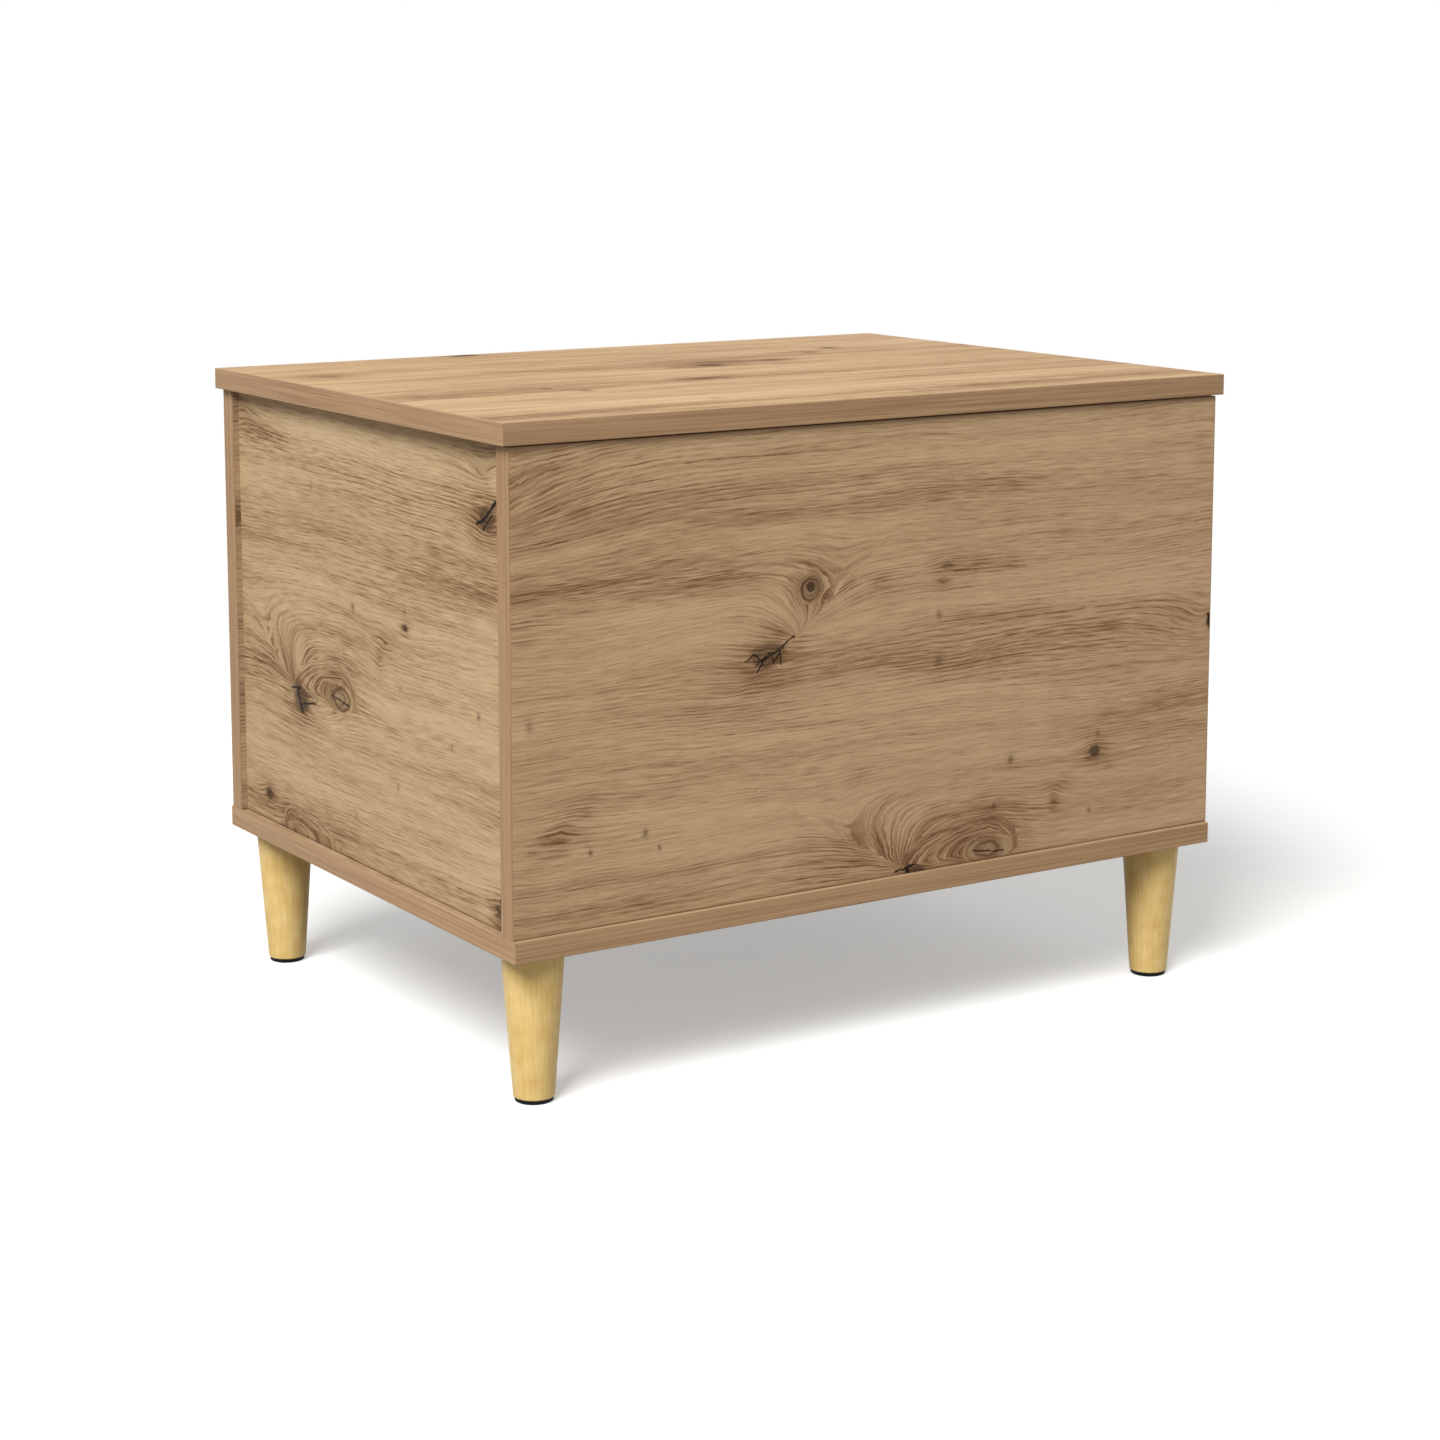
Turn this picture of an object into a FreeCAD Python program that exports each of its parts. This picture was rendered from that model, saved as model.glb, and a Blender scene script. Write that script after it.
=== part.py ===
import FreeCAD, Part
import math
import os

from FreeCAD import Vector

# A bedside storage box: banded oak-decor boards on four turned legs, with a lid that lifts
# on two butt hinges along its back edge and a slotted stay that stops it when it is open.
# Millimetres, +Z up, origin on the floor under the middle of the lid, front facing -Y.

# Boards and their edge bands
lid_width = 600.0
lid_depth = 445.0
lid_thickness = 15.0
base_thickness = 15.0
panel_thickness = 15.0
panel_height = 319.0
lid_gap = 1.0
lid_end_overhang = 5.0
face_overhang = 3.0
side_recess = 5.5
band_thickness = 1.0
band_round = 0.6

# Legs, their bolts and their glides
leg_height = 100.0
leg_top_radius = 21.25
leg_foot_radius = 14.0
leg_foot_round = 2.5
leg_inset = 30.0
leg_bolt_radius = 4.0
leg_bolt_grip = 40.0
insert_radius = 5.5
insert_height = 11.0
glide_radius = 10.2
glide_height = 3.0
glide_round = 1.0
nail_radius = 1.1
nail_length = 18.0
nail_head_radius = 4.0
nail_head_height = 1.0

# Cam fittings and dowels at the corners
cam_radius = 7.4
cam_clearance = 0.1
cam_height = 12.0
cam_setback = 24.0
cam_end_distance = 55.0
cam_slot_length = 9.0
cam_slot_width = 1.6
cam_slot_depth = 2.0
bolt_thread_radius = 3.5
bolt_grip = 11.0
bolt_shank_radius = 3.0
bolt_neck_radius = 2.0
bolt_neck_length = 4.0
bolt_head_radius = 3.4
bolt_head_length = 3.0
bolt_clearance = 0.5
dowel_radius = 4.0
dowel_grip = 10.0
dowel_tail = 20.0
dowel_chamfer = 1.0
dowel_from_cam = 32.0

# Screws and dowels between base and panels
base_screw_head_radius = 5.0
base_screw_head_height = 3.0
base_screw_collar_radius = 3.5
base_screw_thread_radius = 2.5
base_screw_grip = 34.0
base_screw_end_distance = 95.0
base_screw_hexagon = 4.0
base_screw_hexagon_depth = 3.0

# Butt hinges
hinge_end_distance = 115.0
hinge_length = 60.0
hinge_leaf_width = 13.5
hinge_leaf_thickness = 1.2
hinge_knuckle_radius = 2.6
hinge_knuckle_count = 5
hinge_knuckle_gap = 0.3
hinge_pin_radius = 1.3
hinge_pin_head_radius = 2.2
hinge_pin_head_length = 0.8
hinge_proud = 0.3
hinge_screw_spacing = 18.0
hinge_running_clearance = 0.05
hinge_mortise_clearance = 0.4
lid_open_angle = 95.0

# Small countersunk screws of the hinges and the stay
screw_head_radius = 3.0
screw_radius = 1.5
screw_length = 11.0
screw_cross_length = 3.2
screw_cross_width = 0.7
screw_cross_depth = 1.2

# Bumpers under the front of the lid
bumper_radius = 4.0
bumper_clearance = 0.05
bumper_end_distance = 30.0

# Lid stay on the right-hand side
stay_reach = 140.0
stay_pivot_drop = 11.0
stay_guide_angle = 20.0
stay_arm_half_width = 7.0
stay_arm_thickness = 2.0
stay_pin_radius = 2.5
stay_pin_head_radius = 4.5
stay_pin_head_height = 1.5
stay_slot_clearance = 0.2
stay_slot_run_up = 6.0
stay_side_clearance = 0.3
stay_running_clearance = 0.05
stay_plate_thickness = 2.0
stay_plate_length = 44.0
stay_plate_width = 16.0
stay_bracket_width = 18.0
stay_bracket_flange = 24.0
stay_bracket_screw_spacing = 10.0
stay_plate_screw_spacing = 30.0

# Levels, from the floor up
leg_foot = glide_height
base_bottom = leg_foot + leg_height
base_top = base_bottom + base_thickness
panel_top = base_top + panel_height
lid_bottom = panel_top + lid_gap
lid_top = lid_bottom + lid_thickness

# Faces of the case, to the right and to the back of the middle
panel_end = lid_width / 2 - lid_end_overhang
lid_end = lid_width / 2
lid_face = lid_depth / 2
panel_face = lid_face - face_overhang
panel_inner = panel_face - panel_thickness
panel_middle = panel_face - panel_thickness / 2
side_face = panel_end - side_recess
side_inner = side_face - panel_thickness
side_middle = side_face - panel_thickness / 2

# Hinge axis, on the back panel's outer face at the joint between panel and lid
hinge_y = panel_face + hinge_proud
hinge_z = panel_top + lid_gap / 2
hinge_places = [hinge_end_distance - panel_end, panel_end - hinge_end_distance]

# The stay's pivot on the lid and its guide pin on the side are equally far from the hinge
# axis, so the arm turns by exactly half the lid's angle
pivot_y = hinge_y - stay_reach
pivot_z = lid_bottom - stay_pivot_drop
stay_radius = math.hypot(stay_reach, hinge_z - pivot_z)
pivot_angle = math.asin((hinge_z - pivot_z) / stay_radius)
guide_angle = pivot_angle + math.radians(stay_guide_angle)
guide_y = hinge_y - stay_radius * math.cos(guide_angle)
guide_z = hinge_z - stay_radius * math.sin(guide_angle)
stay_closed = 2 * stay_radius * math.sin(math.radians(stay_guide_angle) / 2)
stay_open = 2 * stay_radius * math.sin(math.radians(stay_guide_angle + lid_open_angle) / 2)

X = Vector(1, 0, 0)
Y = Vector(0, 1, 0)
Z = Vector(0, 0, 1)


def box(x0, x1, y0, y1, z0, z1):
    return Part.makeBox(x1 - x0, y1 - y0, z1 - z0, Vector(x0, y0, z0))


def turned(profile, origin, direction):
    """A solid of revolution from (radius, distance along the axis) points."""
    points = [Vector(radius, 0, along) for radius, along in profile]
    face = Part.Face(Part.makePolygon(points + points[:1]))
    solid = face.revolve(Vector(0, 0, 0), Z, 360)
    solid.Placement = FreeCAD.Placement(origin, FreeCAD.Rotation(Z, direction))
    return solid


def strip(x0, x1, y0, y1, z0, z1, sharp):
    """An edge band: a thin box, rounded on every edge that doesn't lie in a sharp plane."""
    body = box(x0, x1, y0, y1, z0, z1)

    def exposed(edge):
        ends = [vertex.Point for vertex in edge.Vertexes]
        return not any(all(abs(p[axis] - at) < 1e-6 for p in ends) for axis, at in sharp)

    thinnest = min(x1 - x0, y1 - y0, z1 - z0)
    radius = min(band_round, 0.8 * thinnest)
    return body.makeFillet(radius, [edge for edge in body.Edges if exposed(edge)])


def banded_slab(half_width, half_depth, z0, z1):
    """A board with bands on all four edges: the core and its four strips."""
    core_x = half_width - band_thickness
    core_y = half_depth - band_thickness
    core = box(-core_x, core_x, -core_y, core_y, z0, z1)
    bands = []
    for side in (-1, 1):
        near, far = sorted((side * core_y, side * half_depth))
        bands.append(strip(-half_width, half_width, near, far, z0, z1, [(1, side * core_y)]))
    for side in (-1, 1):
        near, far = sorted((side * core_x, side * half_width))
        sharp = [(0, side * core_x), (1, -core_y), (1, core_y)]
        bands.append(strip(near, far, -core_y, core_y, z0, z1, sharp))
    return core, bands


def countersunk_screw(origin, direction):
    head_height = screw_head_radius - screw_radius
    profile = [
        (0, 0),
        (screw_head_radius, 0),
        (screw_radius, head_height),
        (screw_radius, screw_length - screw_radius),
        (0, screw_length),
    ]
    return turned(profile, origin, direction)


def crossed_boxes(length, width, depth):
    """The form that a cross-head driver leaves, from z = 0 up."""
    long_half = length / 2
    wide_half = width / 2
    first = box(-long_half, long_half, -wide_half, wide_half, 0, depth)
    second = box(-wide_half, wide_half, -long_half, long_half, 0, depth)
    return first.fuse(second)


def hexagon(across_flats, depth):
    """The form that a hexagon key leaves, from z = 0 up."""
    radius = across_flats / math.sqrt(3)
    angles = [math.radians(60 * corner) for corner in range(6)]
    points = [Vector(radius * math.cos(angle), radius * math.sin(angle), 0) for angle in angles]
    return Part.Face(Part.makePolygon(points + points[:1])).extrude(Z * depth)


def with_recess(screws, recess):
    """The screws with a driver recess cut into each head."""
    finished = []
    for screw in screws:
        tool = recess.copy()
        tool.Placement = screw.Placement
        finished.append(screw.cut(tool))
    return finished


def flat_bar(x0, x1, start, direction, along0, along1, radius):
    """A round-ended bar across X, between two points along a line in the YZ plane."""

    def place(along, across):
        y = start.y + direction.y * along - direction.z * across
        z = start.z + direction.z * along + direction.y * across
        return Vector(x0, y, z)

    side_a = Part.LineSegment(place(along0, radius), place(along1, radius))
    end_b = Part.Arc(place(along1, radius), place(along1 + radius, 0), place(along1, -radius))
    side_b = Part.LineSegment(place(along1, -radius), place(along0, -radius))
    end_a = Part.Arc(place(along0, -radius), place(along0 - radius, 0), place(along0, radius))
    outline = Part.Wire([edge.toShape() for edge in (side_a, end_b, side_b, end_a)])
    return Part.Face(outline).extrude(Vector(x1 - x0, 0, 0))


def corners():
    """Left or right, front or back, and the height of each cam fitting."""
    levels = [base_top + cam_end_distance, panel_top - cam_end_distance]
    return [(side, end, z) for side in (-1, 1) for end in (-1, 1) for z in levels]


def cam_bores():
    """The round pockets for the cam locks, and the holes the bolts pass through to reach them."""
    bores = []
    for side, end, z in corners():
        face = Vector(side * side_inner, end * (panel_inner - cam_setback), z)
        bores.append(Part.makeCylinder(cam_radius + cam_clearance, cam_height, face, X * side))
        mouth = Vector(side * side_middle, end * panel_inner, z)
        bores.append(Part.makeCylinder(bolt_head_radius + bolt_clearance, cam_setback, mouth, Y * -end))
    return bores


def cam_locks():
    locks = []
    for side, end, z in corners():
        y = end * (panel_inner - cam_setback)
        face = Vector(side * side_inner, y, z)
        lock = Part.makeCylinder(cam_radius, cam_height, face, X * side)
        throat_start = Vector(side * side_middle, y + end * 2 * cam_radius, z)
        throat_length = 2 * cam_radius + bolt_head_length + bolt_clearance
        throat = Part.makeCylinder(bolt_head_radius + bolt_clearance, throat_length, throat_start, Y * -end)
        slot = crossed_boxes(cam_slot_length, cam_slot_width, cam_slot_depth)
        slot.Placement = FreeCAD.Placement(face, FreeCAD.Rotation(Z, X * side))
        locks.append(lock.cut([throat, slot]))
    return locks


def cam_bolts():
    neck_end = bolt_grip + cam_setback
    neck_start = neck_end - bolt_neck_length
    profile = [
        (0, 0),
        (bolt_thread_radius, 0),
        (bolt_thread_radius, bolt_grip),
        (bolt_shank_radius, bolt_grip),
        (bolt_shank_radius, neck_start),
        (bolt_neck_radius, neck_start),
        (bolt_neck_radius, neck_end),
        (bolt_head_radius, neck_end),
        (bolt_head_radius, neck_end + bolt_head_length),
        (0, neck_end + bolt_head_length),
    ]
    bolts = []
    for side, end, z in corners():
        start = Vector(side * side_middle, end * (panel_inner + bolt_grip), z)
        bolts.append(turned(profile, start, Y * -end))
    return bolts


def dowel(origin, direction):
    length = dowel_grip + dowel_tail
    narrow = dowel_radius - dowel_chamfer
    profile = [
        (0, 0),
        (narrow, 0),
        (dowel_radius, dowel_chamfer),
        (dowel_radius, length - dowel_chamfer),
        (narrow, length),
        (0, length),
    ]
    return turned(profile, origin, direction)


def corner_dowels():
    dowels = []
    for side, end, z in corners():
        towards_middle = 1 if z < (base_top + panel_top) / 2 else -1
        start_y = end * (panel_inner + dowel_grip)
        start = Vector(side * side_middle, start_y, z + towards_middle * dowel_from_cam)
        dowels.append(dowel(start, Y * -end))
    return dowels


def base_dowels():
    """Halfway between the screws of each long panel, and in the middle of each side."""
    x_half = (panel_end - base_screw_end_distance) / 2
    places = [(x, y) for x in (-x_half, x_half) for y in (-panel_middle, panel_middle)]
    places += [(-side_middle, 0), (side_middle, 0)]
    return [dowel(Vector(x, y, base_top - dowel_grip), Z) for x, y in places]


def base_screws():
    profile = [
        (0, 0),
        (base_screw_head_radius, 0),
        (base_screw_collar_radius, base_screw_head_height),
        (base_screw_collar_radius, base_thickness),
        (base_screw_thread_radius, base_thickness),
        (base_screw_thread_radius, base_thickness + base_screw_grip - base_screw_thread_radius),
        (0, base_thickness + base_screw_grip),
    ]
    x_end = panel_end - base_screw_end_distance
    y_end = panel_inner - base_screw_end_distance
    places = [(x, y) for x in (-x_end, 0, x_end) for y in (-panel_middle, panel_middle)]
    places += [(x, y) for x in (-side_middle, side_middle) for y in (-y_end, y_end)]
    return [turned(profile, Vector(x, y, base_bottom), Z) for x, y in places]


def leg_places():
    x = panel_end - leg_inset
    y = lid_face - leg_inset
    return {
        "front_left": Vector(-x, -y, 0),
        "front_right": Vector(x, -y, 0),
        "back_left": Vector(-x, y, 0),
        "back_right": Vector(x, y, 0),
    }


def leg_bolt(place):
    start = place + Z * (base_bottom - leg_bolt_grip)
    return Part.makeCylinder(leg_bolt_radius, leg_bolt_grip + insert_height, start, Z)


def insert_socket(place):
    return Part.makeCylinder(insert_radius, insert_height, place + Z * base_bottom, Z)


def leg_insert(place):
    return insert_socket(place).cut(leg_bolt(place))


def glide_nail(place):
    head_top = glide_height - nail_head_height
    profile = [
        (0, 0),
        (nail_head_radius, 0),
        (nail_head_radius, nail_head_height),
        (nail_radius, nail_head_height),
        (nail_radius, nail_length - nail_radius),
        (0, nail_length),
    ]
    return turned(profile, place + Z * (head_top - nail_head_height), Z)


def glide(place):
    disc = Part.makeCylinder(glide_radius, glide_height, place, Z)
    rim = [edge for edge in disc.Edges if edge.BoundBox.ZMax < glide_height / 2]
    return disc.makeFillet(glide_round, rim).cut(glide_nail(place))


def leg(place):
    cone = Part.makeCone(leg_foot_radius, leg_top_radius, leg_height, place + Z * leg_foot, Z)
    foot_rim = [edge for edge in cone.Edges if edge.BoundBox.ZMax < leg_foot + leg_height / 2]
    return cone.makeFillet(leg_foot_round, foot_rim).cut([leg_bolt(place), glide_nail(place)])


def hinge_screws(leaf_z, direction):
    y = hinge_y - (hinge_leaf_width + hinge_knuckle_radius) / 2
    offsets = [-hinge_screw_spacing, 0, hinge_screw_spacing]
    return [countersunk_screw(Vector(x + dx, y, leaf_z), direction) for x in hinge_places for dx in offsets]


def hinge_leaf(middle, z0, z1, first_knuckle, screws):
    """A leaf in its mortise, with every second knuckle of the barrel rolled from it."""
    start = middle - hinge_length / 2
    pitch = hinge_length / hinge_knuckle_count
    plate_end = hinge_y - hinge_knuckle_radius - hinge_knuckle_gap
    leaf = box(start, start + hinge_length, hinge_y - hinge_leaf_width, plate_end, z0, z1)
    for knuckle in range(first_knuckle, hinge_knuckle_count, 2):
        x0 = start + knuckle * pitch + hinge_knuckle_gap / 2
        x1 = x0 + pitch - hinge_knuckle_gap
        tongue = box(x0, x1, plate_end, hinge_y, z0, z1)
        barrel = Part.makeCylinder(hinge_knuckle_radius, x1 - x0, Vector(x0, hinge_y, hinge_z), X)
        leaf = leaf.fuse([tongue, barrel])
    bore_radius = hinge_pin_radius + hinge_running_clearance
    bore = Part.makeCylinder(bore_radius, hinge_length, Vector(start, hinge_y, hinge_z), X)
    return leaf.removeSplitter().cut([bore] + screws)


def hinge_pin(middle):
    """A pin headed at both ends, against the outer knuckles."""
    inner = hinge_length - hinge_knuckle_gap
    profile = [
        (0, -hinge_pin_head_length),
        (hinge_pin_head_radius, -hinge_pin_head_length),
        (hinge_pin_head_radius, 0),
        (hinge_pin_radius, 0),
        (hinge_pin_radius, inner),
        (hinge_pin_head_radius, inner),
        (hinge_pin_head_radius, inner + hinge_pin_head_length),
        (0, inner + hinge_pin_head_length),
    ]
    return turned(profile, Vector(middle - inner / 2, hinge_y, hinge_z), X)


def hinge_recesses(leaf_z0, leaf_z1, barrel_z0, barrel_z1):
    """Room for the leaves and the barrels, open to the back."""
    recesses = []
    reach = hinge_length / 2 + hinge_pin_head_length + hinge_mortise_clearance
    behind = lid_face + hinge_knuckle_radius
    leaf_start = hinge_y - hinge_leaf_width - hinge_mortise_clearance
    barrel_start = hinge_y - hinge_knuckle_radius - hinge_mortise_clearance
    for middle in hinge_places:
        recesses.append(box(middle - reach, middle + reach, leaf_start, behind, leaf_z0, leaf_z1))
        recesses.append(box(middle - reach, middle + reach, barrel_start, behind, barrel_z0, barrel_z1))
    return recesses


def case_hinge_recesses():
    barrel_z = hinge_z - hinge_knuckle_radius - hinge_mortise_clearance
    return hinge_recesses(panel_top - hinge_leaf_thickness, lid_bottom, barrel_z, lid_bottom)


def lid_hinge_recesses():
    barrel_z = hinge_z + hinge_knuckle_radius + hinge_mortise_clearance
    return hinge_recesses(panel_top, lid_bottom + hinge_leaf_thickness, panel_top, barrel_z)


def lid_bumpers():
    height = lid_gap - bumper_clearance
    x = panel_end - bumper_end_distance
    places = [Vector(-x, -panel_middle, panel_top), Vector(x, -panel_middle, panel_top)]
    return [Part.makeCylinder(bumper_radius, height, place, Z) for place in places]


def long_panel(end):
    """The front (end -1) or back (end 1) panel: its core and its three bands."""
    y0, y1 = sorted((end * panel_inner, end * panel_face))
    core_x = panel_end - band_thickness
    core_z = panel_top - band_thickness
    core = box(-core_x, core_x, y0, y1, base_top, core_z)
    bands = []
    for side in (-1, 1):
        near, far = sorted((side * core_x, side * panel_end))
        bands.append(strip(near, far, y0, y1, base_top, panel_top, [(0, side * core_x), (2, base_top)]))
    sharp = [(2, core_z), (0, -core_x), (0, core_x)]
    bands.append(strip(-core_x, core_x, y0, y1, core_z, panel_top, sharp))
    return core, bands


def side_panel(side):
    """The left (side -1) or right (side 1) panel: its core and its top band."""
    x0, x1 = sorted((side * side_inner, side * side_face))
    core_z = panel_top - band_thickness
    core = box(x0, x1, -panel_inner, panel_inner, base_top, core_z)
    sharp = [(2, core_z), (1, -panel_inner), (1, panel_inner)]
    return core, [strip(x0, x1, -panel_inner, panel_inner, core_z, panel_top, sharp)]


# Lid stay, from the side panel inwards: guide plate, arm, bracket on the lid
arm_outer = side_inner - stay_plate_thickness - stay_side_clearance
arm_inner = arm_outer - stay_arm_thickness
bracket_outer = arm_inner - stay_side_clearance
bracket_inner = bracket_outer - stay_plate_thickness
pivot = Vector(0, pivot_y, pivot_z)
guide = Vector(0, guide_y, guide_z)
arm_direction = (guide - pivot).normalize()


def stay_arm():
    slot_radius = stay_pin_radius + stay_slot_clearance
    bar = flat_bar(arm_inner, arm_outer, pivot, arm_direction, 0, stay_open, stay_arm_half_width)
    slot_start = stay_closed - stay_slot_run_up
    slot = flat_bar(arm_inner, arm_outer, pivot, arm_direction, slot_start, stay_open, slot_radius)
    hole_radius = stay_pin_radius + stay_running_clearance
    hole = Part.makeCylinder(hole_radius, stay_arm_thickness, pivot + X * arm_inner, X)
    return bar.cut([slot, hole])


def stay_pivot_rivet():
    shank_end = stay_plate_thickness + stay_arm_thickness + 2 * stay_side_clearance
    profile = [
        (0, -stay_pin_head_height),
        (stay_pin_head_radius, -stay_pin_head_height),
        (stay_pin_head_radius, 0),
        (stay_pin_radius, 0),
        (stay_pin_radius, shank_end),
        (stay_pin_head_radius, shank_end),
        (stay_pin_head_radius, shank_end + stay_plate_thickness / 2),
        (0, shank_end + stay_plate_thickness / 2),
    ]
    return turned(profile, pivot + X * bracket_inner, X)


def stay_guide_pin():
    shank_end = stay_pin_head_height + stay_arm_thickness + 2 * stay_side_clearance + stay_plate_thickness
    profile = [
        (0, 0),
        (stay_pin_head_radius, 0),
        (stay_pin_head_radius, stay_pin_head_height),
        (stay_pin_radius, stay_pin_head_height),
        (stay_pin_radius, shank_end),
        (0, shank_end),
    ]
    return turned(profile, guide + X * (side_inner - shank_end), X)


def stay_lid_screws():
    z = lid_bottom - stay_plate_thickness
    x = bracket_inner - stay_bracket_flange / 2
    half = stay_bracket_screw_spacing / 2
    return [countersunk_screw(Vector(x + dx, pivot_y, z), Z) for dx in (-half, half)]


def stay_guide_screws():
    x = side_inner - stay_plate_thickness
    half = stay_plate_screw_spacing / 2
    return [countersunk_screw(Vector(x, guide_y + dy, guide_z), X) for dy in (-half, half)]


def stay_lid_bracket():
    """An angle of sheet steel: flange under the lid, ear hanging down to the pivot."""
    half = stay_bracket_width / 2
    flange_z = lid_bottom - stay_plate_thickness
    flange_x = bracket_inner - stay_bracket_flange
    flange = box(flange_x, bracket_outer, pivot_y - half, pivot_y + half, flange_z, lid_bottom)
    ear = box(bracket_inner, bracket_outer, pivot_y - half, pivot_y + half, pivot_z, flange_z)
    round_end = Part.makeCylinder(half, stay_plate_thickness, pivot + X * bracket_inner, X)
    angle = flange.fuse([ear, round_end]).removeSplitter()
    return angle.cut([stay_pivot_rivet()] + stay_lid_screws())


def stay_guide_plate():
    half = (stay_plate_length - stay_plate_width) / 2
    x0 = side_inner - stay_plate_thickness
    plate = flat_bar(x0, side_inner, guide, Y, -half, half, stay_plate_width / 2)
    return plate.cut([stay_guide_pin()] + stay_guide_screws())


def save(name, solids):
    shape = solids[0] if len(solids) == 1 else Part.makeCompound(solids)
    shape.exportStep("parts/" + name + ".step")


def build():
    places = leg_places()
    leg_bolts = [leg_bolt(place) for place in places.values()]
    leg_sockets = [insert_socket(place) for place in places.values()]
    bolts = cam_bolts()
    side_dowels = corner_dowels()
    floor_dowels = base_dowels()
    floor_screws = base_screws()
    case_screws = hinge_screws(panel_top, -Z)
    lid_screws = hinge_screws(lid_bottom, Z)
    bracket_screws = stay_lid_screws()
    plate_screws = stay_guide_screws()
    cross = crossed_boxes(screw_cross_length, screw_cross_width, screw_cross_depth)
    socket = hexagon(base_screw_hexagon, base_screw_hexagon_depth)

    base_core, base_bands = banded_slab(panel_end, lid_face, base_bottom, base_top)
    save("base_panel", [base_core.cut(leg_sockets + floor_dowels + floor_screws)])
    save("base_edge_bands", base_bands)

    case_recesses = case_hinge_recesses()
    for name, end in (("front", -1), ("back", 1)):
        core, bands = long_panel(end)
        drilled = core.cut(bolts + side_dowels + floor_dowels + floor_screws)
        if end > 0:
            drilled = drilled.cut(case_recesses + case_screws)
            bands = [band.cut(case_recesses) for band in bands]
        save(name + "_panel", [drilled])
        save(name + "_edge_bands", bands)

    for name, side in (("left", -1), ("right", 1)):
        core, bands = side_panel(side)
        drills = cam_bores() + side_dowels + floor_dowels + floor_screws + plate_screws
        save(name + "_panel", [core.cut(drills)])
        save(name + "_edge_band", bands)

    for name, place in places.items():
        save(name + "_leg", [leg(place)])
        save(name + "_glide", [glide(place)])
    save("glide_nails", [glide_nail(place) for place in places.values()])
    save("leg_bolts", leg_bolts)
    save("leg_inserts", [leg_insert(place) for place in places.values()])
    save("cam_locks", cam_locks())
    save("cam_bolts", bolts)
    save("corner_dowels", side_dowels)
    save("base_dowels", floor_dowels)
    save("base_screws", with_recess(floor_screws, socket))
    save("lid_bumpers", lid_bumpers())

    lid_core, lid_bands = banded_slab(lid_end, lid_face, lid_bottom, lid_top)
    lid_recesses = lid_hinge_recesses()
    save("lid_panel", [lid_core.cut(lid_recesses + lid_screws + bracket_screws)])
    save("lid_edge_bands", [band.cut(lid_recesses) for band in lid_bands])

    for name, middle in zip(("left", "right"), hinge_places):
        case_z0 = panel_top - hinge_leaf_thickness
        save(name + "_hinge_case_leaf", [hinge_leaf(middle, case_z0, panel_top, 0, case_screws)])
        lid_z1 = lid_bottom + hinge_leaf_thickness
        save(name + "_hinge_lid_leaf", [hinge_leaf(middle, lid_bottom, lid_z1, 1, lid_screws)])
        save(name + "_hinge_pin", [hinge_pin(middle)])
    save("hinge_case_screws", with_recess(case_screws, cross))
    save("hinge_lid_screws", with_recess(lid_screws, cross))

    save("stay_arm", [stay_arm()])
    save("stay_pivot_rivet", [stay_pivot_rivet()])
    save("stay_lid_bracket", [stay_lid_bracket()])
    save("stay_lid_screws", with_recess(bracket_screws, cross))
    save("stay_guide_plate", [stay_guide_plate()])
    save("stay_guide_pin", [stay_guide_pin()])
    save("stay_guide_screws", with_recess(plate_screws, cross))


os.makedirs("parts", exist_ok=True)
build()
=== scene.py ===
import math

import bpy
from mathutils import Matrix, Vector


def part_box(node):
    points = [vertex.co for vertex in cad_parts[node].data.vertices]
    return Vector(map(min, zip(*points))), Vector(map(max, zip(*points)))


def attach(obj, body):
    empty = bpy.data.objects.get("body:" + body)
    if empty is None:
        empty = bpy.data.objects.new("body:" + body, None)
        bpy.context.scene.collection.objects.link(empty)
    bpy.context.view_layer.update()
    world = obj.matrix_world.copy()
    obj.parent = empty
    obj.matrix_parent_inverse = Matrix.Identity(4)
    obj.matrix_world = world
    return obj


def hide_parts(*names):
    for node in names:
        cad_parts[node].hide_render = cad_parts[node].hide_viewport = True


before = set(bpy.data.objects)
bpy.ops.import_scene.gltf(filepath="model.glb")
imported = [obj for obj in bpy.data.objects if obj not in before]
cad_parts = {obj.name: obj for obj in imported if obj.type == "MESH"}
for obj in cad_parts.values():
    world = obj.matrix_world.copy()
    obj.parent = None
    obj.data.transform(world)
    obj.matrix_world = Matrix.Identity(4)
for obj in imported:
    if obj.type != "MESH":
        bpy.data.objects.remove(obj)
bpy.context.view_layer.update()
MM = 0.001
X, Y, Z = Vector((1, 0, 0)), Vector((0, 1, 0)), Vector((0, 0, 1))

# Camera, matched to the straight edges of the box
camera_place = Vector((-1190.4, -1851.1, 657.7)) * MM
camera_turn = math.radians(-32.858)
camera_dip = math.radians(8.412)
camera_lens = 74.74
camera_sensor = 36.0
camera_shift = -0.13

# Studio: one large soft lamp from the upper left, and a pale surround that gives more light from the right
# and less from above
lamp_place = Vector((-4312, -2680, 5499)) * MM
lamp_aim = Vector((0, 0, 250)) * MM
lamp_size = 3520 * MM
lamp_power = 673.0
surround_level = 0.34
surround_right_gain = 1.7
surround_top_gain = -0.7
floor_colour = "#E8E8E6"
floor_bounce = "#8C8C8A"
floor_lift = 0.36
floor_radius = 6000 * MM
floor_sides = 96
floor_fade = (800 * MM, 1700 * MM)

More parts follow.
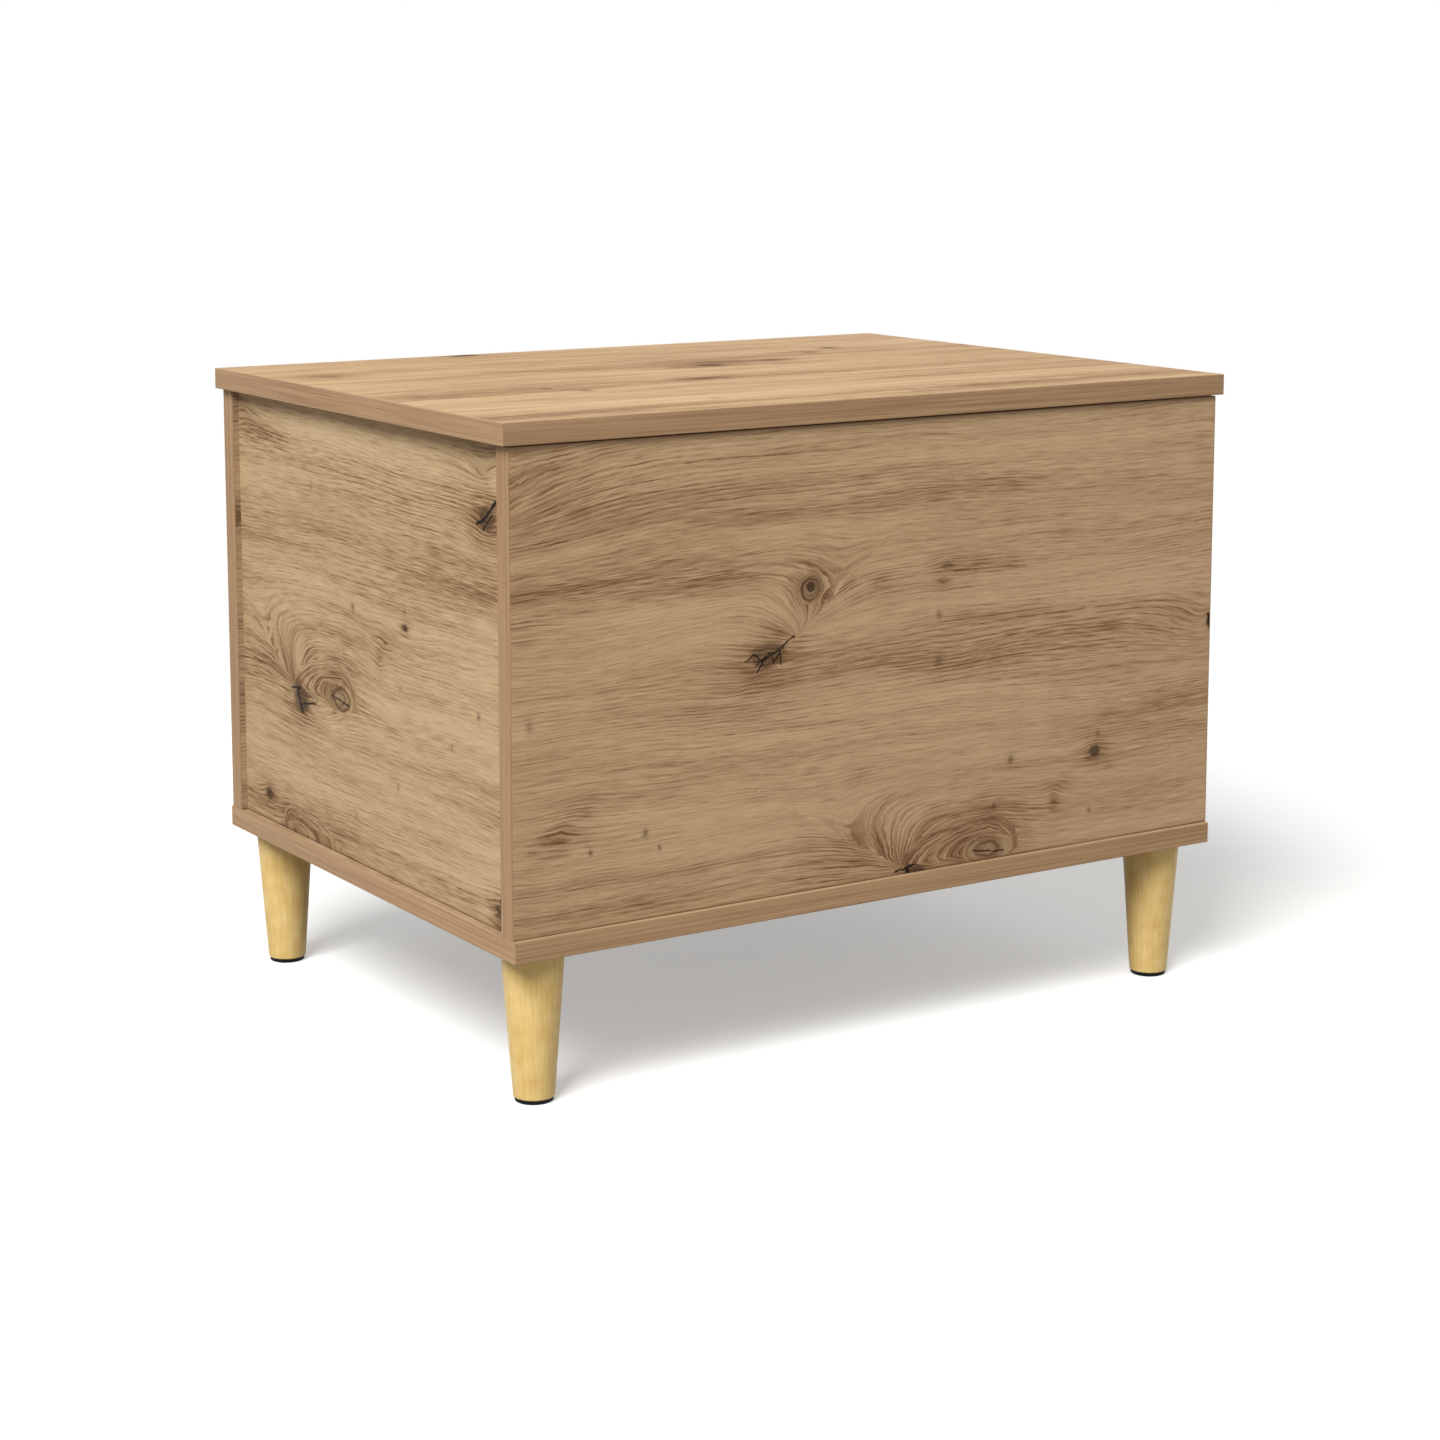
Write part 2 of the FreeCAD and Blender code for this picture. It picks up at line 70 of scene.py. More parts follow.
# Oak decor: tones from the palest wood to the darkest grain
oak_tones = ((0.0, "#D0B18B"), (0.3, "#C3A37E"), (0.5, "#B59470"), (0.75, "#987756"), (1.0, "#76563C"))
oak_knot_colour = "#3E2C1F"
# Flecks; the same colour also lays the thin dark line and the painted shade along the foot of each upright
# board
oak_fleck_and_joint_shade_colour = "#5A402B"
oak_crack_colour = "#241C17"
chip_light = "#C9AD84"
chip_dark = "#8D6D49"

# Oak decor: lengths along and widths across the grain, in millimetres, then the swing of a wave or the
# detail of a layer. Pores, combed and pressed lines are finer on a real board, and are this coarse to show
board_thickness = 15.0
board_step = (971.0, 389.0)
ring_pitch = 3.4
grain_waves = ((320, 95, 24.0), (75, 28, 4.5))
wave_depth = 20.0
wave_detail = 1.0
layer_depth = 6.0
layer_sizes = {
    "broad": (420, 60, 1.0),
    "bands": (200, 11, 2.0),
    "comb": (22, 1.0, 1.5),
    "pitch": (700, 35, 0.0),
    "region": (240, 40, 1.0),
    "single": (80, 5, 1.0),
    "breaks": (10, 1.1, 1.0),
    "pores": (7, 0.9, 0.0),
}
jag_size = 6.0
jag_swing = 4.0
jag_detail = 4.0
patch_depth = 7.0
fleck_shape = (0.9, 1.25)
# Along the foot of each upright board, as half heights in millimetres and strengths: a wide painted shade,
# and a thin dark line that is partly the decor's dark cut edge and partly painted contact shade
joint_line_and_painted_shade = ((4.0, 0.15), (1.2, 0.7))
joint_reach = 10000.0
chips_per_mm = 0.6
face_skin = 0.2
emboss_size = (9.0, 0.8)
emboss_depth = 0.12
emboss_detail = 1.0

# Oak decor: what each part of the print adds to its darkness
layer_weights = {"broad": 0.65, "bands": 0.75, "comb": 0.65}
print_base = 0.36
ring_weight = 0.45
pore_weight = 0.09
strand_weight = -0.24
brown_weight = 0.48

# Oak decor: where each part of the print begins and ends on its own scale, then its least and most
ring_rise = (0.4, 0.84)
ring_fall = (1.0, 0.88)
strand_edge = (0.3, 0.08)
pore_edge = (0.6, 0.78)
ring_regions = (0.38, 0.66, 0.2, 0.7)
ring_singles = (0.32, 0.68, 0.25, 1.35)
ring_breaks = (0.32, 0.62, 0.25, 1.0)
brown_uneven = (0.3, 0.7, 0.55, 1.25)

# Oak decor: rings drawn closer in places, stronger in brown wood and fainter among pale strands
ring_pitch_change = 7.0
ring_in_stain = 0.8
ring_in_strand = -0.4

# Oak decor: how knots, sprays and cracks die away from their middles
knot_fade = 1.4
knot_ring_edge = (0.75, 0.6)
knot_heart_edge = (0.6, 0.3)
spray_arms = (-0.3, -1.0)
spray_fade = 2.0
crack_core = 0.3

# Oak decor: satin overlay
oak_roughness = (0.14, 0.5)
oak_specular = 0.06
emboss_strength = 0.3

MATH = "ShaderNodeMath"
VECTOR = "ShaderNodeVectorMath"
MAP_RANGE = "ShaderNodeMapRange"
MIX = "ShaderNodeMix"
NOISE = "ShaderNodeTexNoise"


def linear(code):
    """An sRGB hex colour as linear RGBA."""
    channels = [int(code[at:at + 2], 16) / 255 for at in (1, 3, 5)]
    return [c / 12.92 if c <= 0.04045 else ((c + 0.055) / 1.055) ** 2.4 for c in channels] + [1.0]


def add(tree, kind, inputs=(), **settings):
    """Adds a node with its settings. Its inputs come in order, or by name or number, and each takes a value,
    a socket, or a node's first output."""
    node = tree.nodes.new(kind)
    for name, value in settings.items():
        setattr(node, name, value)
    sockets = [socket for socket in node.inputs if socket.enabled]
    for key, value in inputs.items() if isinstance(inputs, dict) else enumerate(inputs):
        socket = sockets[key] if isinstance(key, int) else next(s for s in sockets if s.name == key)
        if isinstance(value, bpy.types.Node):
            value = next(output for output in value.outputs if output.enabled)
        if isinstance(value, bpy.types.NodeSocket):
            tree.links.new(value, socket)
        else:
            socket.default_value = value
    return node


def new_material(name):
    """A material and its empty tree."""
    material = bpy.data.materials.new(name)
    material.use_nodes = True
    material.node_tree.nodes.clear()
    return material, material.node_tree


def dress(material, *nodes):
    """Gives CAD nodes a material through their own slots."""
    for node in nodes:
        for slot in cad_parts[node].material_slots:
            slot.material = material


def new_group(name, chained, places, numbers):
    """A shader group: its tree and its given values. The chained values go in and come out again."""
    tree = bpy.data.node_groups.new(name, "ShaderNodeTree")
    for socket in (*chained, *numbers):
        tree.interface.new_socket(socket, in_out="INPUT", socket_type="NodeSocketFloat")
    for socket in places:
        tree.interface.new_socket(socket, in_out="INPUT", socket_type="NodeSocketVector")
    for socket in chained:
        tree.interface.new_socket(socket, in_out="OUTPUT", socket_type="NodeSocketFloat")
    return tree, add(tree, "NodeGroupInput").outputs


def set_tones(ramp, tones):
    """Gives a colour ramp its tones, each with its position."""
    while len(ramp.elements) < len(tones):
        ramp.elements.new(0.5)
    for stop, (position, code) in zip(ramp.elements, tones):
        stop.position = position
        stop.color = linear(code)


def make_knot_group():
    """Grain that swings round a knot, the knot's own rings, its stain and its dark heart."""
    tree, given = new_group(
        "grain round a knot", ("Grain", "Stain", "Heart"), ("Place", "Middle", "Size"),
        ("Lean", "Side", "Tail", "Under", "Parting", "Bulge", "Rings", "Tint", "Core"),
    )
    turned = add(tree, "ShaderNodeVectorRotate", [given["Place"], given["Middle"], given["Lean"]],
                 rotation_type="Z_AXIS")
    offset = add(tree, VECTOR, [turned, given["Middle"]], operation="SUBTRACT")
    across = add(tree, "ShaderNodeSeparateXYZ", [offset]).outputs
    onward = add(tree, MATH, [across["X"], given["Side"]], operation="MULTIPLY")
    trailing = add(tree, MATH, [onward, 0.0], operation="MAXIMUM")
    drawn_in = add(tree, MATH, [trailing, given["Tail"]], operation="DIVIDE")
    leading = add(tree, MATH, [onward, 0.0], operation="MINIMUM")
    lengthwise = add(tree, MATH, [drawn_in, leading], operation="ADD")
    below = add(tree, MATH, [across["Y"], 0.0], operation="MAXIMUM")
    flattened = add(tree, MATH, [below, given["Under"]], operation="DIVIDE")
    above = add(tree, MATH, [across["Y"], 0.0], operation="MINIMUM")
    upright = add(tree, MATH, [flattened, above], operation="ADD")
    shape = add(tree, "ShaderNodeCombineXYZ", [lengthwise, upright, across["Z"]])
    unit = add(tree, VECTOR, [shape, given["Size"]], operation="DIVIDE")
    squared = add(tree, VECTOR, [unit, unit], operation="DOT_PRODUCT")
    near = add(tree, MATH, [math.exp(-1), squared], operation="POWER")
    radius = add(tree, MATH, [squared], operation="SQRT")
    swing = add(tree, MATH, [math.exp(-knot_fade), radius], operation="POWER")
    level = add(tree, "ShaderNodeSeparateXYZ", [given["Middle"]]).outputs["Y"]
    passing = add(tree, MATH, [given["Grain"], level], operation="SUBTRACT")
    pushed = add(tree, MATH, [passing, given["Parting"]], operation="MULTIPLY")
    shift = add(tree, MATH, [given["Bulge"], pushed], operation="SUBTRACT")
    grain = add(tree, MATH, [shift, swing, given["Grain"]], operation="MULTIPLY_ADD")
    inside = add(tree, MAP_RANGE, [radius, *knot_ring_edge], interpolation_type="SMOOTHSTEP")
    ringed = add(tree, MATH, [inside, given["Rings"]], operation="MULTIPLY", use_clamp=True)
    first = add(tree, MATH, [level, given["Bulge"]], operation="ADD")
    falling = add(tree, MATH, [radius, given["Rings"]], operation="MULTIPLY")
    round_it = add(tree, MATH, [first, falling], operation="SUBTRACT")
    grain = add(tree, MIX, {"Factor": ringed, "A": grain, "B": round_it}, data_type="FLOAT")
    tinted = add(tree, MATH, [near, given["Tint"]], operation="MULTIPLY")
    stain = add(tree, MATH, [tinted, given["Stain"]], operation="MAXIMUM")
    plain = add(tree, VECTOR, [offset, given["Size"]], operation="DIVIDE")
    away = add(tree, VECTOR, [plain], operation="LENGTH")
    middle = add(tree, MAP_RANGE, [away, *knot_heart_edge], interpolation_type="SMOOTHSTEP")
    cored = add(tree, MATH, [middle, given["Core"]], operation="MULTIPLY")
    heart = add(tree, MATH, [cored, given["Heart"]], operation="MAXIMUM")
    add(tree, "NodeGroupOutput", {"Grain": grain, "Stain": stain, "Heart": heart})
    return tree


def make_spray_group():
    """Grain that sprays out of a knot against the run of the board, and bends back to go with it."""
    tree, given = new_group(
        "grain sprayed from a knot", ("Grain", "Stain", "Strand"), ("Place", "Tip"),
        ("Lean", "Stretch", "Level", "Spread", "Reach", "Brown", "Pale"),
    )
    turned = add(tree, "ShaderNodeVectorRotate", [given["Place"], given["Tip"], given["Lean"]],
                 rotation_type="Z_AXIS")
    offset = add(tree, VECTOR, [turned, given["Tip"]], operation="SUBTRACT")
    across = add(tree, "ShaderNodeSeparateXYZ", [offset]).outputs
    drawn_in = add(tree, MATH, [across["X"], given["Stretch"]], operation="DIVIDE")
    angle = add(tree, MATH, [across["Y"], drawn_in], operation="ARCTAN2")
    over = add(tree, MATH, [angle, 0.0], operation="MINIMUM")
    past = add(tree, MATH, [angle, given["Level"]], operation="SUBTRACT")
    beside = add(tree, MATH, [past, 0.0], operation="MAXIMUM")
    turn = add(tree, MATH, [over, beside], operation="SUBTRACT")
    shape = add(tree, "ShaderNodeCombineXYZ", [drawn_in, across["Y"], across["Z"]])
    away = add(tree, VECTOR, [shape], operation="LENGTH")
    unit = add(tree, MATH, [away, given["Reach"]], operation="DIVIDE")
    squared = add(tree, MATH, [unit, unit], operation="MULTIPLY")
    near = add(tree, MATH, [math.exp(-1), squared], operation="POWER")
    swept = add(tree, MATH, [turn, near], operation="MULTIPLY")
    grain = add(tree, MATH, [swept, given["Spread"], given["Grain"]], operation="MULTIPLY_ADD")
    combed = add(tree, MAP_RANGE, [over, *spray_arms], interpolation_type="SMOOTHSTEP")
    close = add(tree, MATH, [math.exp(-spray_fade), squared], operation="POWER")
    amount = add(tree, MATH, [combed, close], operation="MULTIPLY")
    stain = add(tree, MATH, [amount, given["Brown"], given["Stain"]], operation="MULTIPLY_ADD")
    paled = add(tree, MATH, [amount, given["Pale"]], operation="MULTIPLY")
    strand = add(tree, MATH, [paled, given["Strand"]], operation="MAXIMUM")
    add(tree, "NodeGroupOutput", {"Grain": grain, "Stain": stain, "Strand": strand})
    return tree


def make_patch_group():
    """A soft patch of darker wood, added to what is there. It also lays the painted shade along the foot of
    an upright board.
    """
    tree, given = new_group("patch of darker wood and painted shade", ("Amount",), ("Place", "Middle", "Size"), ("Strength",))
    offset = add(tree, VECTOR, [given["Place"], given["Middle"]], operation="SUBTRACT")
    unit = add(tree, VECTOR, [offset, given["Size"]], operation="DIVIDE")
    squared = add(tree, VECTOR, [unit, unit], operation="DOT_PRODUCT")
    near = add(tree, MATH, [math.exp(-1), squared], operation="POWER")
    amount = add(tree, MATH, [near, given["Strength"], given["Amount"]], operation="MULTIPLY_ADD")
    add(tree, "NodeGroupOutput", {"Amount": amount})
    return tree


def make_crack_group():
    """A dark drying crack from one point to another."""
    tree, given = new_group("drying crack", ("Amount",), ("Place", "Start", "End"), ("Width",))
    span = add(tree, VECTOR, [given["End"], given["Start"]], operation="SUBTRACT")
    reach = add(tree, VECTOR, [given["Place"], given["Start"]], operation="SUBTRACT")
    along = add(tree, VECTOR, [reach, span], operation="DOT_PRODUCT")
    whole = add(tree, VECTOR, [span, span], operation="DOT_PRODUCT")
    share = add(tree, MATH, [along, whole], operation="DIVIDE", use_clamp=True)
    nearest = add(tree, VECTOR, {0: span, "Scale": share}, operation="SCALE")
    distance = add(tree, VECTOR, [reach, nearest], operation="DISTANCE")
    thin = add(tree, MATH, [given["Width"], crack_core], operation="MULTIPLY")
    line = add(tree, MAP_RANGE, [distance, given["Width"], thin], interpolation_type="SMOOTHSTEP")
    amount = add(tree, MATH, [line, given["Amount"]], operation="MAXIMUM")
    add(tree, "NodeGroupOutput", {"Amount": amount})
    return tree


knot_group = make_knot_group()
spray_group = make_spray_group()
patch_group = make_patch_group()
crack_group = make_crack_group()


def knot(along, down, length, height, bulge=0.0, parting=0.8, rings=0.0, tail=1.0, side=1, under=1.0,
         lean=0.0, tint=0.5, core=1.0, depth=0.0):
    """A knot of that half length and height, in millimetres on the board. tail draws it out on one side,
    under flattens its lower half, rings is the width of wood its own rings take up."""
    return {
        "Middle": (along, down, depth), "Size": (length, height, patch_depth), "Lean": math.radians(lean),
        "Side": side, "Tail": tail, "Under": under, "Parting": parting, "Bulge": bulge, "Rings": rings,
        "Tint": tint, "Core": core,
    }


def spray(along, down, lean, stretch, spread, reach, brown, pale=0.0):
    """Grain sprayed out of that point, in millimetres on the board. stretch below nought sends it the
    other way."""
    turn = math.radians(lean)
    level = math.atan2(math.sin(abs(turn)), -math.cos(turn) / abs(stretch))
    return {
        "Tip": (along, down, 0.0), "Lean": turn, "Stretch": stretch, "Level": level, "Spread": spread,
        "Reach": reach, "Brown": brown, "Pale": pale,
    }


def darken(tree, amount, place, patches, depth=patch_depth):
    """Adds soft patches to an amount, each given by its middle, half length, half height and strength."""
    for along, down, length, height, strength in patches:
        amount = add(tree, "ShaderNodeGroup", {
            "Amount": amount, "Place": place, "Middle": (along, down, 0.0), "Size": (length, height, depth),
            "Strength": strength,
        }, node_tree=patch_group)
    return amount


def oak_board(node, x_end, y_end, along, down, seed, sprays=(), knots=(), cracks=(), streaks=(), flecks=(),
              lines=(), weights=layer_weights, face_tint_and_painted_shade="#FFFFFF", reverse_painted_shade="#FFFFFF"):
    """Particle board faced with printed oak decor under a satin overlay. It gives the eye long wavy
    grain, pores and cracked knots on the faces, and pressed chips wherever the board is cut into. The
    pattern starts from the board's top corner at those ends of X and Y."""
    material, tree = new_material("oak_decor_" + node.removesuffix("_panel"))
    dress(material, node)

    # Where this point is on the board: along the grain, down across it, in from the face
    low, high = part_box(node)
    corner = Vector((high.x if x_end > 0 else low.x, high.y if y_end > 0 else low.y, high.z))
    inward = along.cross(down)
    point = add(tree, "ShaderNodeTexCoord").outputs["Object"]
    spot = add(tree, VECTOR, [point, corner], operation="SUBTRACT")
    run, drop, depth = [
        add(tree, VECTOR, [spot, axis / MM], operation="DOT_PRODUCT") for axis in (along, down, inward)
    ]
    place = add(tree, "ShaderNodeCombineXYZ", [run, drop, depth])
    start = (seed * board_step[0], seed * board_step[1], 0.0)
    sample = add(tree, VECTOR, [place, start], operation="ADD")

    # Grain that wanders, sprays out of knots and swings round them
    grain = drop
    for length, width, swing in grain_waves:
        scaled = add(tree, VECTOR, [sample, (1 / length, 1 / width, 1 / wave_depth)], operation="MULTIPLY")
        wave = add(tree, NOISE, {"Vector": scaled, "Scale": 1.0, "Detail": wave_detail})
        offset = add(tree, MATH, [wave, swing, -swing / 2], operation="MULTIPLY_ADD")
        grain = add(tree, MATH, [grain, offset], operation="ADD")
    fine = add(tree, VECTOR, [sample, (1 / jag_size,) * 3], operation="MULTIPLY")
    jags = add(tree, NOISE, {"Vector": fine, "Scale": 1.0, "Detail": jag_detail}).outputs["Color"]
    swing = (jag_swing, jag_swing, 0.0)
    half = (-jag_swing / 2, -jag_swing / 2, 0.0)
    jag = add(tree, VECTOR, [jags, swing, half], operation="MULTIPLY_ADD")
    rough_place = add(tree, VECTOR, [place, jag], operation="ADD")
    stain, strand, heart = 0.0, 0.0, 0.0
    for each in sprays:
        chain = {"Grain": grain, "Stain": stain, "Strand": strand, "Place": rough_place}
        combed = add(tree, "ShaderNodeGroup", {**chain, **each}, node_tree=spray_group).outputs
        grain, stain, strand = combed["Grain"], combed["Stain"], combed["Strand"]
    for each in knots:
        chain = {"Grain": grain, "Stain": stain, "Heart": heart, "Place": rough_place}
        bent = add(tree, "ShaderNodeGroup", {**chain, **each}, node_tree=knot_group).outputs
        grain, stain, heart = bent["Grain"], bent["Stain"], bent["Heart"]

    # Layers of the print, drawn out along the grain
    grain_place = add(tree, "ShaderNodeCombineXYZ", [run, grain, depth])
    grain_sample = add(tree, VECTOR, [grain_place, start], operation="ADD")
    layers = {}
    for layer, (length, width, detail) in layer_sizes.items():
        drawn = (1 / length, 1 / width, 1 / layer_depth)
        scaled = add(tree, VECTOR, [grain_sample, drawn], operation="MULTIPLY")
        layers[layer] = add(tree, NOISE, {"Vector": scaled, "Scale": 1.0, "Detail": detail})

    # Growth rings: a slow darkening and a quick return, in some places strong and in some faint
    spread = add(tree, MATH, [layers["pitch"], ring_pitch_change], operation="MULTIPLY")
    phase = add(tree, MATH, [grain, 1 / ring_pitch, spread], operation="MULTIPLY_ADD")
    saw = add(tree, MATH, [phase], operation="FRACT")
    rise = add(tree, MAP_RANGE, [saw, *ring_rise], interpolation_type="SMOOTHSTEP")
    fall = add(tree, MAP_RANGE, [saw, *ring_fall], interpolation_type="SMOOTHSTEP")
    ring = add(tree, MATH, [rise, fall], operation="MULTIPLY")
    shown = add(tree, MAP_RANGE, [layers["region"], *ring_regions])
    shown = add(tree, MATH, [stain, ring_in_stain, shown], operation="MULTIPLY_ADD")
    shown = add(tree, MATH, [strand, ring_in_strand, shown], operation="MULTIPLY_ADD")
    shown = darken(tree, shown, place, lines)
    single = add(tree, MAP_RANGE, [layers["single"], *ring_singles])
    broken = add(tree, MAP_RANGE, [layers["breaks"], *ring_breaks])
    for share in (single, shown, broken):
        ring = add(tree, MATH, [ring, share], operation="MULTIPLY")
    pale = add(tree, MAP_RANGE, [saw, *strand_edge], interpolation_type="SMOOTHSTEP")
    pale = add(tree, MATH, [pale, strand], operation="MULTIPLY")
    pore = add(tree, MAP_RANGE, [layers["pores"], *pore_edge])

    # Darkness of the print
    dark = add(tree, MATH, [ring, ring_weight, print_base], operation="MULTIPLY_ADD")
    for layer, weight in weights.items():
        share = add(tree, MATH, [layers[layer], weight, -weight / 2], operation="MULTIPLY_ADD")
        dark = add(tree, MATH, [dark, share], operation="ADD")
    browned = darken(tree, stain, grain_place, streaks)
    uneven = add(tree, MAP_RANGE, [layers["comb"], *brown_uneven])
    browned = add(tree, MATH, [browned, uneven], operation="MULTIPLY")
    for amount, weight in ((pore, pore_weight), (pale, strand_weight), (browned, brown_weight)):
        dark = add(tree, MATH, [amount, weight, dark], operation="MULTIPLY_ADD")
    wood = add(tree, "ShaderNodeValToRGB", [dark])
    set_tones(wood.color_ramp, oak_tones)

    # Flecks, a thin dark line with painted shade along the foot of an upright board, dark hearts of knots,
    # and cracks
    wide, tall = fleck_shape
    spots = [(across, below, size * wide, size * tall, strength) for across, below, size, strength in flecks]
    fleck_and_joint_shade = darken(tree, 0.0, rough_place, spots)
    # On both faces along the foot: a wide painted shade, and a thin line that is partly the decor's dark cut
    # edge and partly painted contact shade
    if down == -Z:
        foot = (high.z - low.z) / MM
        joint_line_and_shade = [(0.0, foot, joint_reach, height, strength) for height, strength in joint_line_and_painted_shade]
        fleck_and_joint_shade = darken(tree, fleck_and_joint_shade, place, joint_line_and_shade, joint_reach)
    crack = 0.0
    for start_at, end_at, width in cracks:
        crack = add(tree, "ShaderNodeGroup", {
            "Amount": crack, "Place": rough_place, "Start": (*start_at, 0.0), "End": (*end_at, 0.0),
            "Width": width,
        }, node_tree=crack_group)
    marked = wood
    for amount, code in ((fleck_and_joint_shade, oak_fleck_and_joint_shade_colour), (heart, oak_knot_colour), (crack, oak_crack_colour)):
        marked = add(tree, MIX, {"Factor": amount, "A": marked, "B": linear(code)}, data_type="RGBA")

    # A slight tint on each face, set board by board; on the base's top face and the back panel's inner face
    # it is a cooler, darker painted shade
    behind = add(tree, MATH, [depth, board_thickness / 2], operation="GREATER_THAN")
    tint_and_shade = add(tree, MIX, {"Factor": behind, "A": linear(face_tint_and_painted_shade), "B": linear(reverse_painted_shade)},
               data_type="RGBA")
    printed = add(tree, MIX, {"Factor": 1.0, "A": marked, "B": tint_and_shade}, data_type="RGBA",
                  blend_type="MULTIPLY")

    # Pressed chips where the board is cut between its two faces
    chips = add(tree, "ShaderNodeTexVoronoi", {"Vector": place, "Scale": chips_per_mm})
    chip_tone = add(tree, "ShaderNodeSeparateColor", [chips.outputs["Color"]])
    chip = add(tree, MIX, {"Factor": chip_tone, "A": linear(chip_light), "B": linear(chip_dark)},
               data_type="RGBA")
    from_middle = add(tree, MATH, [depth, board_thickness / 2], operation="SUBTRACT")
    from_middle = add(tree, MATH, [from_middle], operation="ABSOLUTE")
    cut = add(tree, MATH, [from_middle, board_thickness / 2 - face_skin], operation="LESS_THAN")
    colour = add(tree, MIX, {"Factor": cut, "A": printed, "B": chip}, data_type="RGBA")

    # Satin overlay, a little rougher in the dark grain, with fine lines pressed into it
    rough = add(tree, MATH, [dark, *oak_roughness], operation="MULTIPLY_ADD")
    length, width = emboss_size
    drawn = add(tree, VECTOR, [sample, (1 / length, 1 / width, 0.0)], operation="MULTIPLY")
    emboss = add(tree, NOISE, {"Vector": drawn, "Scale": 1.0, "Detail": emboss_detail})
    bump = add(tree, "ShaderNodeBump", {
        "Strength": emboss_strength, "Distance": emboss_depth * MM, "Height": emboss,
    }, invert=True)
    shader = add(tree, "ShaderNodeBsdfPrincipled", {
        "Base Color": colour, "Roughness": rough, "Normal": bump, "Specular IOR Level": oak_specular,
    })
    add(tree, "ShaderNodeOutputMaterial", {"Surface": shader})


def double_knot(along, down):
    """A ringed, lens-shaped knot with arcs over it, brown wood and a cracked knot to its left."""
    return [
        knot(along, down, 37, 34, parting=0.8, rings=42, tail=2.7, side=-1, under=0.36, tint=0.95, core=0),
        knot(along - 112, down - 6, 60, 20, parting=0, tint=0.45, core=0),
        knot(along, down, 31, 16, parting=0.6, rings=6, tint=1.0, core=0),
        knot(along, down, 38, 19, parting=0, tint=0, core=0.28),
        knot(along - 64, down + 12, 28, 20, parting=0.3, tint=0.9, core=0.65),
    ]


def double_knot_spray(along, down):
    """The grain that sprays up and out from between the two."""
    return spray(along - 66, down + 8, lean=-30, stretch=2.6, spread=23, reach=29, brown=1.2, pale=1.0)


def double_knot_cracks(along, down):
    """One crack across the ringed knot, three in the other."""
    return [
        ((along - 14, down), (along + 14, down + 3), 0.9),
        ((along - 81, down + 5), (along - 65, down + 3), 1.2),
        ((along - 71, down + 5), (along - 63, down + 21), 2.4),
        ((along - 64, down + 15), (along - 40, down + 11), 1.1),
    ]


# The boards: knots, cracks, streaks, flecks and lined places are in millimetres from a top corner
oak_board(
    "front_panel", -1, -1, X, -Z, seed=1,
    sprays=[
        double_knot_spray(383, 310),
        spray(219, 141, lean=40, stretch=-1.8, spread=18, reach=30, brown=0.25),
    ],
    knots=[
        knot(-20, 40, 130, 55, bulge=-45, parting=0, tint=0.25, core=0),
        knot(230, 109, 15, 15, bulge=-20, parting=1.0, rings=12, tint=0.6, core=0),
        knot(262, 111, 15, 11, parting=0, tint=0.35, core=0),
        knot(287, 111, 13, 6, parting=0, tint=0.5, core=0),
        knot(230, 108, 20, 18, parting=0, tint=0.7, core=0.35),
        knot(230, 108, 9, 9, parting=0, tint=0.7, core=0.9),
        knot(195, 151, 28, 18, parting=0.4, lean=14, tint=0.9, core=0.45),
        knot(345, 104, 11, 6, bulge=2, tail=4, tint=0.5, core=0.3),
        knot(342, 114, 8, 6, tint=0.4, core=0.1),
        knot(590, 160, 55, 32, bulge=-20, parting=0.3, tint=0.15, core=0),
        knot(588, 166, 7, 9, tint=0.6, core=0.8),
        knot(480, 251, 11, 10, bulge=2, tint=0.7, core=0.75),
        knot(36, 251, 26, 13, bulge=3, parting=0.3, lean=32, tint=0.55, core=0),
        knot(446, 271, 14, 5, tint=0.5, core=0),
        knot(443, 282, 6, 10, tint=0.5, core=0),
        *double_knot(383, 310),
    ],
    cracks=[
        ((177, 154), (184, 150), 0.8), ((184, 150), (191, 155), 0.9), ((187, 162), (194, 152), 0.9),
        ((191, 155), (204, 148), 1.1), ((204, 148), (217, 140), 0.8), ((205, 149), (206, 159), 0.8),
        ((186, 157), (197, 150), 0.7), ((197, 150), (200, 157), 0.7), ((200, 157), (209, 145), 0.7),
        ((586, 160), (588, 170), 1.6), *double_knot_cracks(383, 310),
    ],
    streaks=[
        (70, 83, 110, 9, 0.85), (165, 91, 45, 7, 0.7), (290, 51, 120, 7, 0.3), (545, 213, 75, 11, 0.8),
        (385, 109, 45, 4, 0.5), (440, 163, 190, 18, 0.4), (30, 22, 60, 16, 0.4), (520, 52, 40, 6, 0.3),
        (330, 45, 70, 10, 0.25), (150, 160, 90, 20, 0.2), (110, 302, 130, 14, 0.3),
    ],
    flecks=[
        (184, 153, 5.0, 0.45), (203, 149, 5.5, 0.5), (192, 158, 4.0, 0.4),
        (338, 137, 2.6, 0.55), (338, 169, 3.4, 0.45), (13, 179, 3.0, 0.45), (58, 268, 1.7, 0.8),
        (99, 260, 2.4, 0.7), (110, 271, 1.6, 0.7), (388, 280, 2.0, 0.6), (476, 294, 2.0, 0.7),
        (403, 248, 2.8, 0.7), (483, 239, 2.4, 0.6),
    ],
    lines=[
        (430, 160, 170, 32, 0.45), (160, 28, 120, 22, 0.45), (250, 305, 60, 20, 0.5), (60, 175, 80, 14, 0.3),
    ],
    weights={**layer_weights, "broad": 0.5, "comb": 0.9},
)
